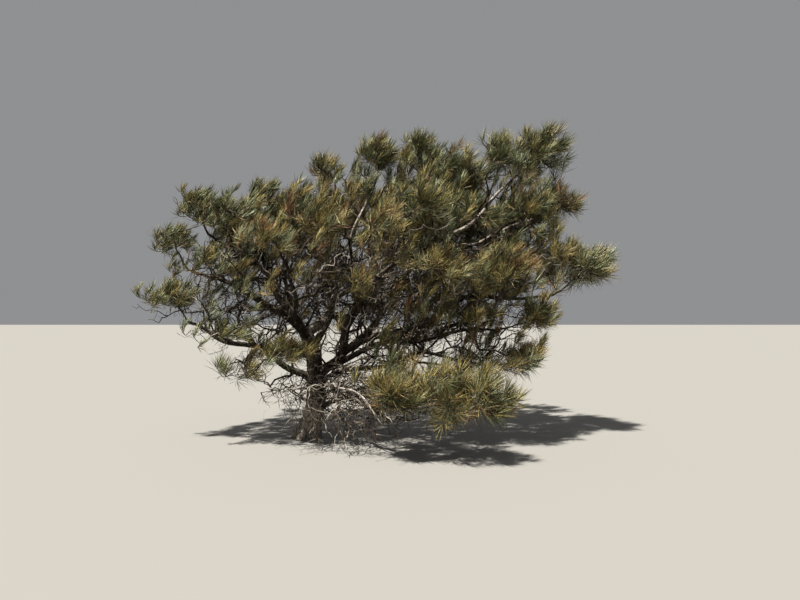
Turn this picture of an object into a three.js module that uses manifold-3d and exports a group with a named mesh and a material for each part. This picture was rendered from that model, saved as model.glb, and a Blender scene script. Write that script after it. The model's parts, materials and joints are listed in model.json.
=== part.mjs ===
// A pine shaped by the wind on an open shore, at its real size.
// Millimetres, +Z up, origin at the flat cut under the trunk, at ground level.
// +X is the way the wind blows, and the crown streams that way. -Y is the front.
// The tree is a leaning trunk, tapering boughs that leave it or each other, and masses of foliage.
// Each mass is one solid: a stem, twigs that branch from it by a seeded rule, and sprays of needles.

import * as THREE from 'three';
import Module from 'manifold-3d';

const wasm = await Module();
wasm.setup();

// Driving dimensions

const GAP = 0.3; // clear space where one piece meets the next
const CLEARANCE = 5; // least space between a twig and a limb of another piece
const LEAST_OVERLAP = 0.01; // shared volume, in cubic millimetres, that counts as touching
const SPACE_MARGIN = 3; // how far each mass stays from the plane it shares with its neighbour

const TRUNK = {
  via: [110, 0, 730],
  tip: [-40, 0, 1400],
  root: 128,
  end: 86,
  flare: 78, // how far the root flare stands out at the ground
  flareHeight: 170,
  cutOff: 90, // length of the leaning butt below the ground, which the flat cut takes away
  buttresses: 5,
  sides: 14,
  rings: 12,
};

// Each limb: its name, the limb it leaves, at what share of that one's length, the place it passes
// half way, its tip, and its radii at root and tip
const LIMBS = [
  ['east_stem', 'trunk', 0.5, [470, -90, 1230], [720, -150, 2050], 68, 44],
  ['west_low_bough', 'trunk', 0.52, [-700, -240, 1170], [-1430, -350, 1500], 46, 14],
  ['west_mid_bough', 'trunk', 0.95, [-600, -90, 1790], [-1480, -220, 2160], 64, 15],
  ['west_high_bough', 'west_mid_bough', 0.14, [-560, 30, 2080], [-1300, 0, 2640], 50, 15],
  ['west_top_bough', 'west_high_bough', 0.3, [-640, 130, 2440], [-770, 180, 2930], 32, 12],
  ['tuft_bough', 'west_high_bough', 0.12, [-260, -60, 2250], [-190, -100, 2720], 32, 12],
  ['leader', 'trunk', 0.96, [530, 120, 1890], [1240, 100, 2560], 68, 20],
  ['top_left_stem', 'leader', 0.55, [590, 60, 2620], [840, 10, 3200], 32, 13],
  ['east_leader', 'east_stem', 0.72, [1560, -110, 2370], [2560, -80, 3250], 42, 15],
  ['upper_right_bough', 'east_leader', 0.42, [2230, 70, 2570], [2950, 60, 2850], 30, 12],
  ['right_bough', 'east_stem', 0.42, [1880, -60, 1680], [3180, 0, 1840], 46, 13],
  ['low_east_bough', 'east_stem', 0.16, [1230, -230, 1260], [2380, -350, 1400], 42, 13],
  ['lowest_east_bough', 'trunk', 0.44, [1120, -420, 1050], [2250, -520, 980], 36, 12],
  ['skirt_bough', 'trunk', 0.3, [560, -500, 520], [1400, -1200, 560], 38, 13],
  ['front_west_bough', 'trunk', 0.84, [-100, -460, 1750], [-60, -820, 2180], 40, 13],
  ['front_east_bough', 'east_stem', 0.6, [980, -560, 2060], [1500, -960, 2350], 42, 14],
  ['back_west_bough', 'trunk', 0.88, [-480, 640, 1880], [-900, 1150, 2280], 48, 16],
  ['back_bough', 'trunk', 0.8, [330, 760, 2050], [260, 1330, 2720], 50, 17],
  ['back_east_bough', 'east_stem', 0.34, [1350, 640, 1980], [2350, 1150, 2480], 48, 16],
  ['dead_snag', 'trunk', 0.46, [500, -640, 760], [1000, -960, 340], 22, 7],
].map(([name, from, at, via, tip, root, end]) => ({ name, from, at, via, tip, root, end }));

// Each mass: its name, the limb it grows from, at what share of that one's length, and the centre and
// half sizes of the ellipsoid it keeps to
const MASSES = [
  ['west_low_clump', 'west_low_bough', 1, [-1590, -370, 1780], [530, 460, 320]],
  ['west_low_inner', 'west_low_bough', 0.45, [-850, -560, 1420], [460, 400, 340]],
  ['west_mid_tip', 'west_mid_bough', 1, [-1700, -120, 2540], [340, 400, 300]],
  ['west_mid_clump', 'west_mid_bough', 0.75, [-1120, -420, 2200], [460, 460, 290]],
  ['west_high_tip', 'west_high_bough', 1, [-1420, 20, 2990], [380, 460, 360]],
  ['west_high_clump', 'west_high_bough', 0.8, [-870, -300, 2810], [430, 460, 370]],
  ['west_twin', 'west_top_bough', 1, [-640, 180, 3220], [360, 400, 290]],
  ['tuft_left', 'tuft_bough', 1, [-110, -120, 3050], [350, 380, 310]],
  ['west_front', 'front_west_bough', 0.85, [-340, -900, 2440], [460, 430, 340]],
  ['centre_left', 'front_west_bough', 1, [330, -850, 2620], [430, 430, 360]],
  ['lone_tuft', 'top_left_stem', 0.22, [230, 0, 3460], [340, 370, 300]],
  ['top_left', 'top_left_stem', 1, [900, 0, 3640], [380, 410, 400]],
  ['top_mid', 'leader', 1, [1450, 60, 3680], [380, 440, 450]],
  ['top_saddle', 'east_leader', 0.55, [1970, -40, 3370], [400, 460, 440]],
  ['top_right', 'east_leader', 0.85, [2450, -290, 3570], [370, 460, 450]],
  ['top_far', 'east_leader', 1, [3030, -20, 3690], [430, 500, 490]],
  ['right_shoulder', 'upper_right_bough', 1, [3270, 60, 3060], [330, 400, 290]],
  ['upper_right', 'upper_right_bough', 0.65, [2750, -340, 2790], [390, 460, 430]],
  ['lobe', 'right_bough', 1, [3540, 0, 2210], [600, 470, 380]],
  ['right_mid', 'right_bough', 0.6, [2400, -700, 2090], [500, 460, 350]],
  ['right_inner', 'front_east_bough', 0.8, [1630, -1080, 2080], [440, 430, 300]],
  ['right_low', 'low_east_bough', 1, [2870, -380, 1540], [430, 460, 370]],
  ['right_low_inner', 'low_east_bough', 0.7, [2110, -680, 1580], [460, 440, 280]],
  ['lowest', 'lowest_east_bough', 1, [2680, -560, 1020], [400, 410, 290]],
  ['front_shell_left', 'front_east_bough', 0.6, [870, -1290, 2560], [450, 460, 370]],
  ['front_shell_right', 'front_east_bough', 1, [1480, -1100, 2790], [440, 460, 390]],
  ['upper_front', 'east_leader', 0.4, [2130, -880, 2700], [470, 460, 390]],
  ['trunk_tufts', 'trunk', 0.62, [-70, -580, 1120], [560, 400, 250]],
  ['skirt_near', 'skirt_bough', 0.7, [1050, -1320, 680], [490, 460, 380]],
  ['skirt_far', 'skirt_bough', 1, [1960, -1300, 690], [600, 500, 400]],
  ['back_left', 'back_west_bough', 1, [-1120, 1080, 2560], [620, 600, 440]],
  ['back_left_inner', 'back_west_bough', 0.6, [-360, 760, 2850], [520, 520, 410]],
  ['back_mid', 'back_bough', 1, [130, 1480, 3060], [640, 620, 480]],
  ['back_centre', 'back_bough', 0.7, [700, 780, 3140], [520, 500, 440]],
  ['back_right', 'back_bough', 0.85, [1330, 1500, 3170], [640, 620, 500]],
  ['back_right_inner', 'back_east_bough', 0.6, [1820, 760, 2980], [520, 480, 460]],
  ['back_east', 'back_east_bough', 1, [2650, 1280, 2900], [640, 620, 560]],
  ['back_east_low', 'back_east_bough', 0.8, [2720, 760, 2010], [520, 480, 420]],
  ['inner_twigs', 'trunk', 1, [560, -330, 1900], [860, 420, 480]],
].map(([name, from, at, centre, half]) => ({ name, from, at, centre, half }));

const LIMB_SIDES = 6;
const LIMB_RING = 250; // length of limb between two rings
const LIMB_CROOK = 0.03; // sideways swing, as a share of the limb's reach
const CROOK_TURNS = 1.7; // swings along one limb
const TAPER = 0.85; // under 1, a limb keeps its thickness and thins towards its tip
const COLLAR = 0.15; // extra radius at the root, as a share of it

const STEM_SIDES = 3;
const STEM_RINGS = 5;
const STEM_ROOT = 20; // largest radius of a mass's stem where it leaves the side of a limb
const STEM_END = 9; // its radius at the far end
const STEM_BOW = 0.12; // how far it leans along its limb before it turns to its mass, as a share of its reach

const NEEDLE = 330; // length of one needle, a little over life size
const SHOOT = 440; // length of shoot that carries needles
const CORE = 44; // radius of the slim core of a spray
const TWIG = 8; // radius of a twig where its spray starts
const LONGEST_SPRAY = 0.85; // share of its twig that a spray may take
const LEAST_TWIG = 270; // a twig is at least this long
const LEAST_FACING = 0.5; // cosine: it leaves a face that looks its way at least this much
const SPRAY_AREA = 352000; // surface of a mass's space that one spray fills, in square millimetres
const TRIES = 8; // times that a twig's place may be looked for
const NEEDLE_ROOM = 1.12; // needles may stand this far out of a mass's ellipsoid
const SPREADS = [0.95, 0.72, 0.45]; // how far needles lean off their shoot, from its foot to its tip
const SWEEP = 0.15; // how far the wind turns them

const DEAD = 'dead_snag'; // the limb that has lost its bark
const BARE = 'inner_twigs'; // the mass without needles
const BARE_SHARE = 2; // its twigs grow this much closer than sprays

const WIND = new THREE.Vector3(0.8, 0.05, 0.6).normalize();
const GOLDEN_ANGLE = Math.PI * (3 - Math.sqrt(5));

const BARK = 0x4a4038;
const DEAD_WOOD = 0x8f8a82;
const GREY_GREEN = 0x5a5c48; // needles on the windward side, at the top and at the furthest tips
const OLIVE = 0x56513a;
const GOLD = 0x5e5233; // older needles, low down and in front

// Chance: the same on every run, with one stream for each piece of the tree.

function draws(seed) {
  let state = Math.imul(seed + 1, 2654435761) >>> 0;
  const next = () => {
    state = (Math.imul(state, 1664525) + 1013904223) >>> 0;
    return state / 4294967296;
  };
  next();
  return next;
}

const vector = (place) => new THREE.Vector3(...place);

// A limb's line: a bend through one place half way, with a slight crook that dies out at both ends.

class LimbPath extends THREE.Curve {
  constructor(start, via, tip, crook, seed) {
    super();
    this.start = start;
    this.tip = tip;
    this.bend = via.clone().multiplyScalar(2).addScaledVector(start, -0.5).addScaledVector(tip, -0.5);
    this.crook = crook;
    const draw = draws(seed);
    this.phases = [draw(), draw(), draw()];
  }

  getPoint(t, target = new THREE.Vector3()) {
    target.set(0, 0, 0);
    target.addScaledVector(this.start, (1 - t) * (1 - t));
    target.addScaledVector(this.bend, 2 * t * (1 - t));
    target.addScaledVector(this.tip, t * t);
    const swing = this.crook * Math.sin(Math.PI * t);
    const turns = this.phases.map((phase) => Math.sin(2 * Math.PI * (CROOK_TURNS * t + phase)));
    return target.addScaledVector(new THREE.Vector3(...turns), swing);
  }
}

// Two directions square to a path at t. The reference is the axis that the whole path runs least along.

function crossAxes(path, t) {
  const along = path.getTangent(t);
  const whole = path.getPoint(1).sub(path.getPoint(0));
  const level = Math.abs(whole.y) < Math.abs(whole.z);
  const reference = level ? new THREE.Vector3(0, 1, 0) : new THREE.Vector3(0, 0, 1);
  const side = new THREE.Vector3().crossVectors(along, reference).normalize();
  const up = new THREE.Vector3().crossVectors(along, side);
  return { along, side, up };
}

function ringPoint(path, t, angle, radius) {
  const { side, up } = crossAxes(path, t);
  return path
    .getPoint(t)
    .addScaledVector(side, Math.cos(angle) * radius)
    .addScaledVector(up, Math.sin(angle) * radius);
}

// A closed mesh and a solid

function geometryOf(points, triangles) {
  const geometry = new THREE.BufferGeometry().setFromPoints(points);
  geometry.setIndex(triangles.flat());
  return geometry;
}

function solidOf(geometry) {
  return new wasm.Manifold(
    new wasm.Mesh({
      numProp: 3,
      vertProperties: geometry.attributes.position.array,
      triVerts: new Uint32Array(geometry.index.array),
    }),
  );
}

function meshGeometry(solid) {
  const { numProp, vertProperties, triVerts } = solid.getMesh();
  const places = [];
  for (let i = 0; i < vertProperties.length; i += numProp) {
    places.push(vertProperties[i], vertProperties[i + 1], vertProperties[i + 2]);
  }
  const geometry = new THREE.BufferGeometry();
  geometry.setAttribute('position', new THREE.Float32BufferAttribute(places, 3));
  geometry.setIndex([...triVerts]);
  geometry.computeVertexNormals();
  return geometry;
}

function largestPiece(solid) {
  return solid.decompose().reduce((best, piece) => (piece.volume() > best.volume() ? piece : best));
}

// A tapering tube round a path, closed by flat ends, and larger all round by extra.

function tube(path, radiusAt, sides, rings, extra) {
  const points = [];
  for (let ring = 0; ring <= rings; ring++) {
    const t = ring / rings;
    const beyond = ring === 0 ? -extra : ring === rings ? extra : 0;
    for (let side = 0; side < sides; side++) {
      const angle = (2 * Math.PI * side) / sides;
      const place = ringPoint(path, t, angle, radiusAt(t, angle) + extra);
      points.push(place.addScaledVector(path.getTangent(t), beyond));
    }
  }
  const triangles = [];
  const last = rings * sides;
  for (let side = 1; side < sides - 1; side++) {
    triangles.push([0, side + 1, side], [last, last + side, last + side + 1]);
  }
  for (let ring = 0; ring < rings; ring++) {
    for (let side = 0; side < sides; side++) {
      const a = ring * sides + side;
      const b = ring * sides + ((side + 1) % sides);
      triangles.push([a, b, b + sides], [a, b + sides, a + sides]);
    }
  }
  return { points, triangles };
}

// Trunk: fluted at its root flare, from the flat cut at the ground to its fork

function trunkRadius(t, angle) {
  const height = t * TRUNK.tip[2];
  const flare = TRUNK.flare * Math.exp(-height / TRUNK.flareHeight);
  const lobes = 0.75 + 0.45 * Math.cos(TRUNK.buttresses * angle + 0.6);
  const taper = TRUNK.root + (TRUNK.end - TRUNK.root) * t;
  return taper + flare * lobes;
}

function trunkPath() {
  return new LimbPath(new THREE.Vector3(0, 0, 0), vector(TRUNK.via), vector(TRUNK.tip), 12, 3);
}

function trunkSolid(path, extra) {
  const { points, triangles } = tube(path, trunkRadius, TRUNK.sides, TRUNK.rings, extra);
  const foot = path.getTangent(0).multiplyScalar(-TRUNK.cutOff);
  for (const point of points.slice(0, TRUNK.sides)) point.add(foot);
  const whole = solidOf(geometryOf(points, triangles));
  return whole.trimByPlane([0, 0, 1], 0);
}

// Limbs: each tapers from a collar at its root, and is cut clear of the limbs it leaves

function limbRadius(limb, length) {
  return (t) => {
    const taper = limb.end + (limb.root - limb.end) * Math.pow(1 - t, TAPER);
    const collar = COLLAR * limb.root * Math.exp((-t * length) / (2 * limb.root));
    return taper + collar;
  };
}

function limbSolid(limb, path, extra) {
  const length = path.getLength();
  const rings = Math.max(5, Math.round(length / LIMB_RING));
  const { points, triangles } = tube(path, limbRadius(limb, length), LIMB_SIDES, rings, extra);
  return solidOf(geometryOf(points, triangles));
}

const paths = { trunk: trunkPath() };
const limbSolids = { trunk: trunkSolid(paths.trunk, 0) };
const grown = { trunk: trunkSolid(paths.trunk, GAP) }; // each limb a gap larger, to cut the next ones by
const cleared = [trunkSolid(paths.trunk, CLEARANCE)]; // each limb larger by the space that twigs leave

LIMBS.forEach((limb, index) => {
  const start = paths[limb.from].getPoint(limb.at);
  const reach = start.distanceTo(vector(limb.tip));
  const path = new LimbPath(start, vector(limb.via), vector(limb.tip), LIMB_CROOK * reach, 17 + index);
  let solid = limbSolid(limb, path, 0);
  for (const earlier of Object.values(grown)) solid = solid.subtract(earlier);
  paths[limb.name] = path;
  limbSolids[limb.name] = largestPiece(solid);
  grown[limb.name] = limbSolid(limb, path, GAP);
  cleared.push(limbSolid(limb, path, CLEARANCE));
});

// The space of a mass: its ellipsoid, cut by a plane between it and each neighbour

function reachAlong(mass, direction) {
  const [a, b, c] = mass.half;
  return 1 / Math.hypot(direction.x / a, direction.y / b, direction.z / c);
}

function planesOf(mass) {
  const centre = vector(mass.centre);
  return MASSES.filter((other) => other !== mass).map((other) => {
    const normal = vector(other.centre).sub(centre);
    const distance = normal.length();
    normal.normalize();
    const own = reachAlong(mass, normal);
    const theirs = reachAlong(other, normal);
    return { normal, limit: normal.dot(centre) + (distance * own) / (own + theirs) - SPACE_MARGIN };
  });
}

function spaceOf(mass) {
  const centre = vector(mass.centre);
  const planes = planesOf(mass);
  const [a, b, c] = mass.half;
  return (point, room = 1) => {
    const from = point.clone().sub(centre);
    const inside = Math.hypot(from.x / a, from.y / b, from.z / c) <= room;
    return inside && planes.every(({ normal, limit }) => normal.dot(point) <= limit);
  };
}

// The stem of a mass, from its limb to the middle of its space

function stemPath(mass, index) {
  const limb = paths[mass.from];
  const along = limb.getTangent(mass.at);
  const start = limb.getPoint(mass.at).addScaledVector(along, mass.at === 1 ? GAP : 0);
  const end = vector(mass.centre).addScaledVector(WIND, 0.1 * mass.half[0]);
  const reach = start.distanceTo(end);
  const leaving = mass.at === 1 ? along : along.clone().add(new THREE.Vector3(0, 0, 0.6)).normalize();
  const via = start.clone().add(end).multiplyScalar(0.5);
  via.addScaledVector(leaving, STEM_BOW * reach);
  return new LimbPath(start, via, end, 0.02 * reach, 101 + index);
}

function stemTube(mass, path, extra) {
  const parent = LIMBS.find((limb) => limb.name === mass.from) ?? TRUNK;
  const widest = mass.at === 1 ? 0.95 * parent.end : 0.7 * parent.root;
  const root = Math.min(STEM_ROOT, widest);
  return tube(path, (t) => root + (STEM_END - root) * t, STEM_SIDES, STEM_RINGS, extra);
}

// Growth: a mass starts as its stem's closed mesh, and each twig is drawn out of one face of what has grown

function faceCentre(corners) {
  return corners[0].clone().add(corners[1]).add(corners[2]).divideScalar(3);
}

function faceNormal(corners) {
  const first = corners[1].clone().sub(corners[0]);
  const second = corners[2].clone().sub(corners[0]);
  return first.cross(second).normalize();
}

function bestFace(growth, target) {
  let best = null;
  for (const face of growth.faces.filter(({ open }) => open)) {
    const corners = face.corners.map((i) => growth.points[i]);
    const way = target.clone().sub(faceCentre(corners));
    const distance = way.length();
    const facing = faceNormal(corners).dot(way) / distance;
    const cost = distance * (1.5 - 0.5 * facing);
    if (distance < LEAST_TWIG || facing < LEAST_FACING) continue;
    if (!best || cost < best.cost) best = { face, corners, cost };
  }
  return best;
}

// The turn that lines a ring up with the three corners it is drawn out of

function ringTurn(corners, path, t) {
  const { side, up } = crossAxes(path, t);
  const centre = faceCentre(corners);
  let x = 0;
  let y = 0;
  corners.forEach((corner, i) => {
    const from = corner.clone().sub(centre);
    const angle = Math.atan2(from.dot(up), from.dot(side)) - (2 * Math.PI * i) / 3;
    x += Math.cos(angle);
    y += Math.sin(angle);
  });
  return Math.atan2(y, x);
}

// Where the needle of one face ends: forward, outward and down the wind. It is drawn in where it
// would leave the space.

function needleTip(corners, axis, along, spread, length, inSpace) {
  const root = faceCentre(corners);
  const outward = root.clone().sub(axis);
  outward.addScaledVector(along, -outward.dot(along)).normalize();
  const direction = along.clone().addScaledVector(outward, spread).addScaledVector(WIND, SWEEP).normalize();
  for (const share of [1, 0.8, 0.6]) {
    const tip = root.clone().addScaledVector(direction, share * length);
    if (inSpace(tip, NEEDLE_ROOM)) return tip;
  }
  return null;
}

// The rings of a twig after its root. A spray's rings swell to a slim core, and needles are drawn out
// of the faces that follow a ring with a spread. Each ring is turned a sixth from the one before.

function twigRings(share, size, bare) {
  if (bare) return [0.35, 0.7].map((t) => ({ t, radius: TWIG * (1.1 - 0.6 * t), spread: 0 }));
  return [
    { t: 1 - share, radius: TWIG, spread: SPREADS[0] },
    { t: 1 - 0.68 * share, radius: CORE * size, spread: SPREADS[1] },
    { t: 1 - 0.3 * share, radius: 0.85 * CORE * size, spread: SPREADS[2] },
  ];
}

function twigShape(root, path, inSpace, draw, bare) {
  const points = [...root];
  const faces = [];
  const length = path.getLength();
  const share = Math.min(LONGEST_SPRAY, SHOOT / length);
  const size = (share * length) / SHOOT;
  const rings = twigRings(share, size, bare);
  const turn = ringTurn(root, path, rings[0].t);
  rings.forEach(({ t, radius }, ring) => {
    for (let corner = 0; corner < 3; corner++) {
      points.push(ringPoint(path, t, turn + ((2 * corner + ring) * Math.PI) / 3, radius));
    }
  });
  const end = points.push(path.getPoint(1)) - 1;
  if (!points.slice(3).every((point) => inSpace(point))) return null;

  const along = path.getTangent(1 - share / 2);
  const addFace = (a, b, c, t, spread) => {
    const corners = [points[a], points[b], points[c]];
    const reach = NEEDLE * size * (0.9 + 0.2 * draw());
    const tip = spread ? needleTip(corners, path.getPoint(t), along, spread, reach, inSpace) : null;
    if (!tip) {
      faces.push({ corners: [a, b, c], open: !spread });
      return;
    }
    const apex = points.push(tip) - 1;
    for (const side of [[a, b, apex], [b, c, apex], [c, a, apex]]) faces.push({ corners: side, open: false });
  };
  for (let corner = 0; corner < 3; corner++) {
    const next = (corner + 1) % 3;
    faces.push({ corners: [corner, next, next + 3], open: true });
    faces.push({ corners: [corner, next + 3, corner + 3], open: true });
  }
  rings.forEach(({ t, spread }, i) => {
    const next = rings[i + 1]?.t ?? 1;
    for (let corner = 0; corner < 3; corner++) {
      const a = 3 * (i + 1) + corner;
      const b = 3 * (i + 1) + ((corner + 1) % 3);
      if (i === rings.length - 1) {
        addFace(a, b, end, (2 * t + next) / 3, spread);
      } else {
        addFace(a, b, a + 3, (2 * t + next) / 3, spread);
        addFace(b, b + 3, a + 3, (t + 2 * next) / 3, spread);
      }
    }
  });
  return { points, faces };
}

function graft(growth, face, twig) {
  const first = growth.points.length;
  const place = (i) => (i < 3 ? face.corners[i] : first + i - 3);
  growth.points.push(...twig.points.slice(3));
  growth.faces.splice(growth.faces.indexOf(face), 1);
  for (const { corners, open } of twig.faces) growth.faces.push({ corners: corners.map(place), open });
}

// The twigs of a mass: aimed over its space by the golden angle, bent up and down the wind

function twigCount(mass) {
  const [a, b, c] = mass.half;
  const area = (4 * Math.PI * (a * b + b * c + a * c)) / 3;
  const closeness = mass.name === BARE ? BARE_SHARE : 1;
  return Math.max(3, Math.round((closeness * area) / SPRAY_AREA));
}

function twigTarget(mass, share, seed, draw) {
  const height = 1 - 1.5 * share; // from straight up to below level
  const round = Math.sqrt(1 - height * height);
  const angle = seed * GOLDEN_ANGLE + 0.5 * draw();
  const [a, b, c] = mass.half;
  const outward = new THREE.Vector3(a * round * Math.cos(angle), b * round * Math.sin(angle), c * height);
  return vector(mass.centre).addScaledVector(outward, 0.62 + 0.14 * draw());
}

function twigPath(start, end, seed) {
  const reach = start.distanceTo(end);
  const via = start.clone().add(end).multiplyScalar(0.5);
  via.addScaledVector(WIND, -0.05 * reach);
  via.z -= 0.06 * reach;
  return new LimbPath(start, via, end, 0.01 * reach, seed);
}

function touches(solid, obstacles) {
  return obstacles.some((obstacle) => solid.intersect(obstacle).volume() > LEAST_OVERLAP);
}

function massSolid(mass, index, stems) {
  const inSpace = spaceOf(mass);
  const others = stems.filter((other) => other.mass !== mass).map((other) => other.cleared);
  const stem = stems[index];
  const stemFaces = stem.triangles.map((corners, i) => ({ corners, open: i > 0 })); // all but the foot's cap
  const growth = { points: stem.points, faces: stemFaces };
  const grownTwigs = [solidOf(geometryOf(stem.points, stem.triangles))];
  const count = twigCount(mass);
  for (let tried = 0; tried < TRIES * count && grownTwigs.length <= count; tried++) {
    const seed = 1000 + 60 * index + tried;
    const draw = draws(seed);
    const target = twigTarget(mass, ((tried + 0.5) / count) % 1, seed, draw);
    const root = bestFace(growth, target);
    if (!root) continue;
    const path = twigPath(faceCentre(root.corners), target, seed);
    const twig = twigShape(root.corners, path, inSpace, draw, mass.name === BARE);
    if (!twig) continue;
    const solid = solidOf(geometryOf(twig.points, [[2, 1, 0], ...twig.faces.map(({ corners }) => corners)]));
    if (touches(solid, [...cleared, ...others, ...grownTwigs])) continue;
    grownTwigs.push(solid);
    graft(growth, root.face, twig);
  }
  const whole = solidOf(geometryOf(growth.points, growth.faces.map(({ corners }) => corners)));
  return largestPiece(Object.values(grown).reduce((solid, limb) => solid.subtract(limb), whole));
}

const stems = MASSES.map((mass, index) => {
  const path = stemPath(mass, index);
  const { points, triangles } = stemTube(mass, path, 0);
  const wider = stemTube(mass, path, CLEARANCE);
  return { mass, points, triangles, cleared: solidOf(geometryOf(wider.points, wider.triangles)) };
});

// The whole tree

const tree = new THREE.Group();
tree.name = 'pine_tree';

function addPiece(name, solid, color) {
  const material = new THREE.MeshStandardMaterial({ color, roughness: 0.9, metalness: 0 });
  const mesh = new THREE.Mesh(meshGeometry(solid), material);
  mesh.name = name;
  tree.add(mesh);
}

function needleColour({ centre: [x, y, z] }) {
  if (x < -500 || x > 3000 || z > 3300) return GREY_GREEN;
  return y < -600 || z < 1700 ? GOLD : OLIVE;
}

addPiece('trunk', limbSolids.trunk, BARK);
for (const { name } of LIMBS) addPiece(name, limbSolids[name], name === DEAD ? DEAD_WOOD : BARK);
MASSES.forEach((mass, index) => {
  const solid = massSolid(mass, index, stems);
  if (mass.name === BARE) addPiece(mass.name, solid, BARK);
  else addPiece(`${mass.name}_foliage`, solid, needleColour(mass));
});

export default tree;
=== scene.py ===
# %% [markdown]
# # A pine shaped by the wind
#
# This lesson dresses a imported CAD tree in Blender. The real tree is a short leaning trunk that forks
# low, long boughs, and a crown of brush-like tufts of long needles that the wind has combed one way.
# The CAD model gives the places: the trunk, nineteen boughs, a dead snag and thirty-nine masses.
# Blender gives what CAD leaves out: bark, thousands of twigs and over a hundred thousand bundles of
# needles.
#
# Everything is in metres, in the frame of the CAD model: +Z is up, +X is where the wind blows to, and
# the origin is under the trunk at ground level. So nothing has to be fitted afterwards.

import json
import math
from collections import namedtuple

import bpy
import numpy as np
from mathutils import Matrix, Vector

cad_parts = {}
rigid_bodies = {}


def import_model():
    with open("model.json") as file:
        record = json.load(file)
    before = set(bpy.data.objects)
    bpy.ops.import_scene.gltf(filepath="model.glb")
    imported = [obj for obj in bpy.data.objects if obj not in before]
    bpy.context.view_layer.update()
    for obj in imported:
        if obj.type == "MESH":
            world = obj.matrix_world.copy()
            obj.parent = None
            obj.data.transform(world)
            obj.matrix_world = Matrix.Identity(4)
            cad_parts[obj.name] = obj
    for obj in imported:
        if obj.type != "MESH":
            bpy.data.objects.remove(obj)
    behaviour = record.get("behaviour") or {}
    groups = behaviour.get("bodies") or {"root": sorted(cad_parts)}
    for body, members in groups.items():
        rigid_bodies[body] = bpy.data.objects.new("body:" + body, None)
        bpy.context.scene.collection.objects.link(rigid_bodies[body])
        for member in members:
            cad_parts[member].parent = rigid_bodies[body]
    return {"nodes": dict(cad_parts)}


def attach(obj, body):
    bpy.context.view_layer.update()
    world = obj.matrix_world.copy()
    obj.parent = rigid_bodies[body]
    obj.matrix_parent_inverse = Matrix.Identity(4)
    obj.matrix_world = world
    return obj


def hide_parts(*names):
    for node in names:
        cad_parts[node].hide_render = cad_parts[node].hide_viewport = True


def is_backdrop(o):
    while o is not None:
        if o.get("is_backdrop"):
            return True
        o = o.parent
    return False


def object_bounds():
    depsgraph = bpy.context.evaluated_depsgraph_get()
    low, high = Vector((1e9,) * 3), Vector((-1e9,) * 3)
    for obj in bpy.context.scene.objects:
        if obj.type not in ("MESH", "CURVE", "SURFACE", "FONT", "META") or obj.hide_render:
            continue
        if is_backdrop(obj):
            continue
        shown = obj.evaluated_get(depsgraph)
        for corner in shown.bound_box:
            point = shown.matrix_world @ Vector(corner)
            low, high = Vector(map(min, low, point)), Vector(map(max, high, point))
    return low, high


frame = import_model()
cad_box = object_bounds()
print(len(frame["nodes"]), "CAD nodes, from", tuple(cad_box[0]), "to", tuple(cad_box[1]))

# %% [markdown]
# ## The plan of the tree
#
# A tree can be sculpted, scanned or grown. It is grown here, because a rule can be carried from the
# boughs that CAD has down to twigs and needles that it hasn't. The plan is the CAD source's own, in
# millimetres: each limb names the limb it leaves and at what share of that one's length, a place it
# passes half way, its tip, and its radii at root and tip. Each mass of foliage names its limb, and
# the centre and half sizes of the ellipsoid that it keeps to.

# %% The limbs
MM = 0.001
Limb = namedtuple("Limb", "name parent at via tip root end")
LIMBS = [
    Limb(name, parent, at, np.array(via) * MM, np.array(tip) * MM, root * MM, end * MM)
    for name, parent, at, via, tip, root, end in [
        ("east_stem", "trunk", 0.5, (470, -90, 1230), (720, -150, 2050), 68, 44),
        ("west_low_bough", "trunk", 0.52, (-700, -240, 1170), (-1430, -350, 1500), 46, 14),
        ("west_mid_bough", "trunk", 0.95, (-600, -90, 1790), (-1480, -220, 2160), 64, 15),
        ("west_high_bough", "west_mid_bough", 0.14, (-560, 30, 2080), (-1300, 0, 2640), 50, 15),
        ("west_top_bough", "west_high_bough", 0.3, (-640, 130, 2440), (-770, 180, 2930), 32, 12),
        ("tuft_bough", "west_high_bough", 0.12, (-260, -60, 2250), (-190, -100, 2720), 32, 12),
        ("leader", "trunk", 0.96, (530, 120, 1890), (1240, 100, 2560), 68, 20),
        ("top_left_stem", "leader", 0.55, (590, 60, 2620), (840, 10, 3200), 32, 13),
        ("east_leader", "east_stem", 0.72, (1560, -110, 2370), (2560, -80, 3250), 42, 15),
        ("upper_right_bough", "east_leader", 0.42, (2230, 70, 2570), (2950, 60, 2850), 30, 12),
        ("right_bough", "east_stem", 0.42, (1880, -60, 1680), (3180, 0, 1840), 46, 13),
        ("low_east_bough", "east_stem", 0.16, (1230, -230, 1260), (2380, -350, 1400), 42, 13),
        ("lowest_east_bough", "trunk", 0.44, (1120, -420, 1050), (2250, -520, 980), 36, 12),
        ("skirt_bough", "trunk", 0.3, (560, -500, 520), (1400, -1200, 560), 38, 13),
        ("front_west_bough", "trunk", 0.84, (-100, -460, 1750), (-60, -820, 2180), 40, 13),
        ("front_east_bough", "east_stem", 0.6, (980, -560, 2060), (1500, -960, 2350), 42, 14),
        ("back_west_bough", "trunk", 0.88, (-480, 640, 1880), (-900, 1150, 2280), 48, 16),
        ("back_bough", "trunk", 0.8, (330, 760, 2050), (260, 1330, 2720), 50, 17),
        ("back_east_bough", "east_stem", 0.34, (1350, 640, 1980), (2350, 1150, 2480), 48, 16),
        ("dead_snag", "trunk", 0.46, (500, -640, 760), (1000, -960, 340), 22, 7),
    ]
]
DEAD = "dead_snag"
print(len(LIMBS), "limbs, the thickest", max(limb.root for limb in LIMBS), "m at its root")

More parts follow.
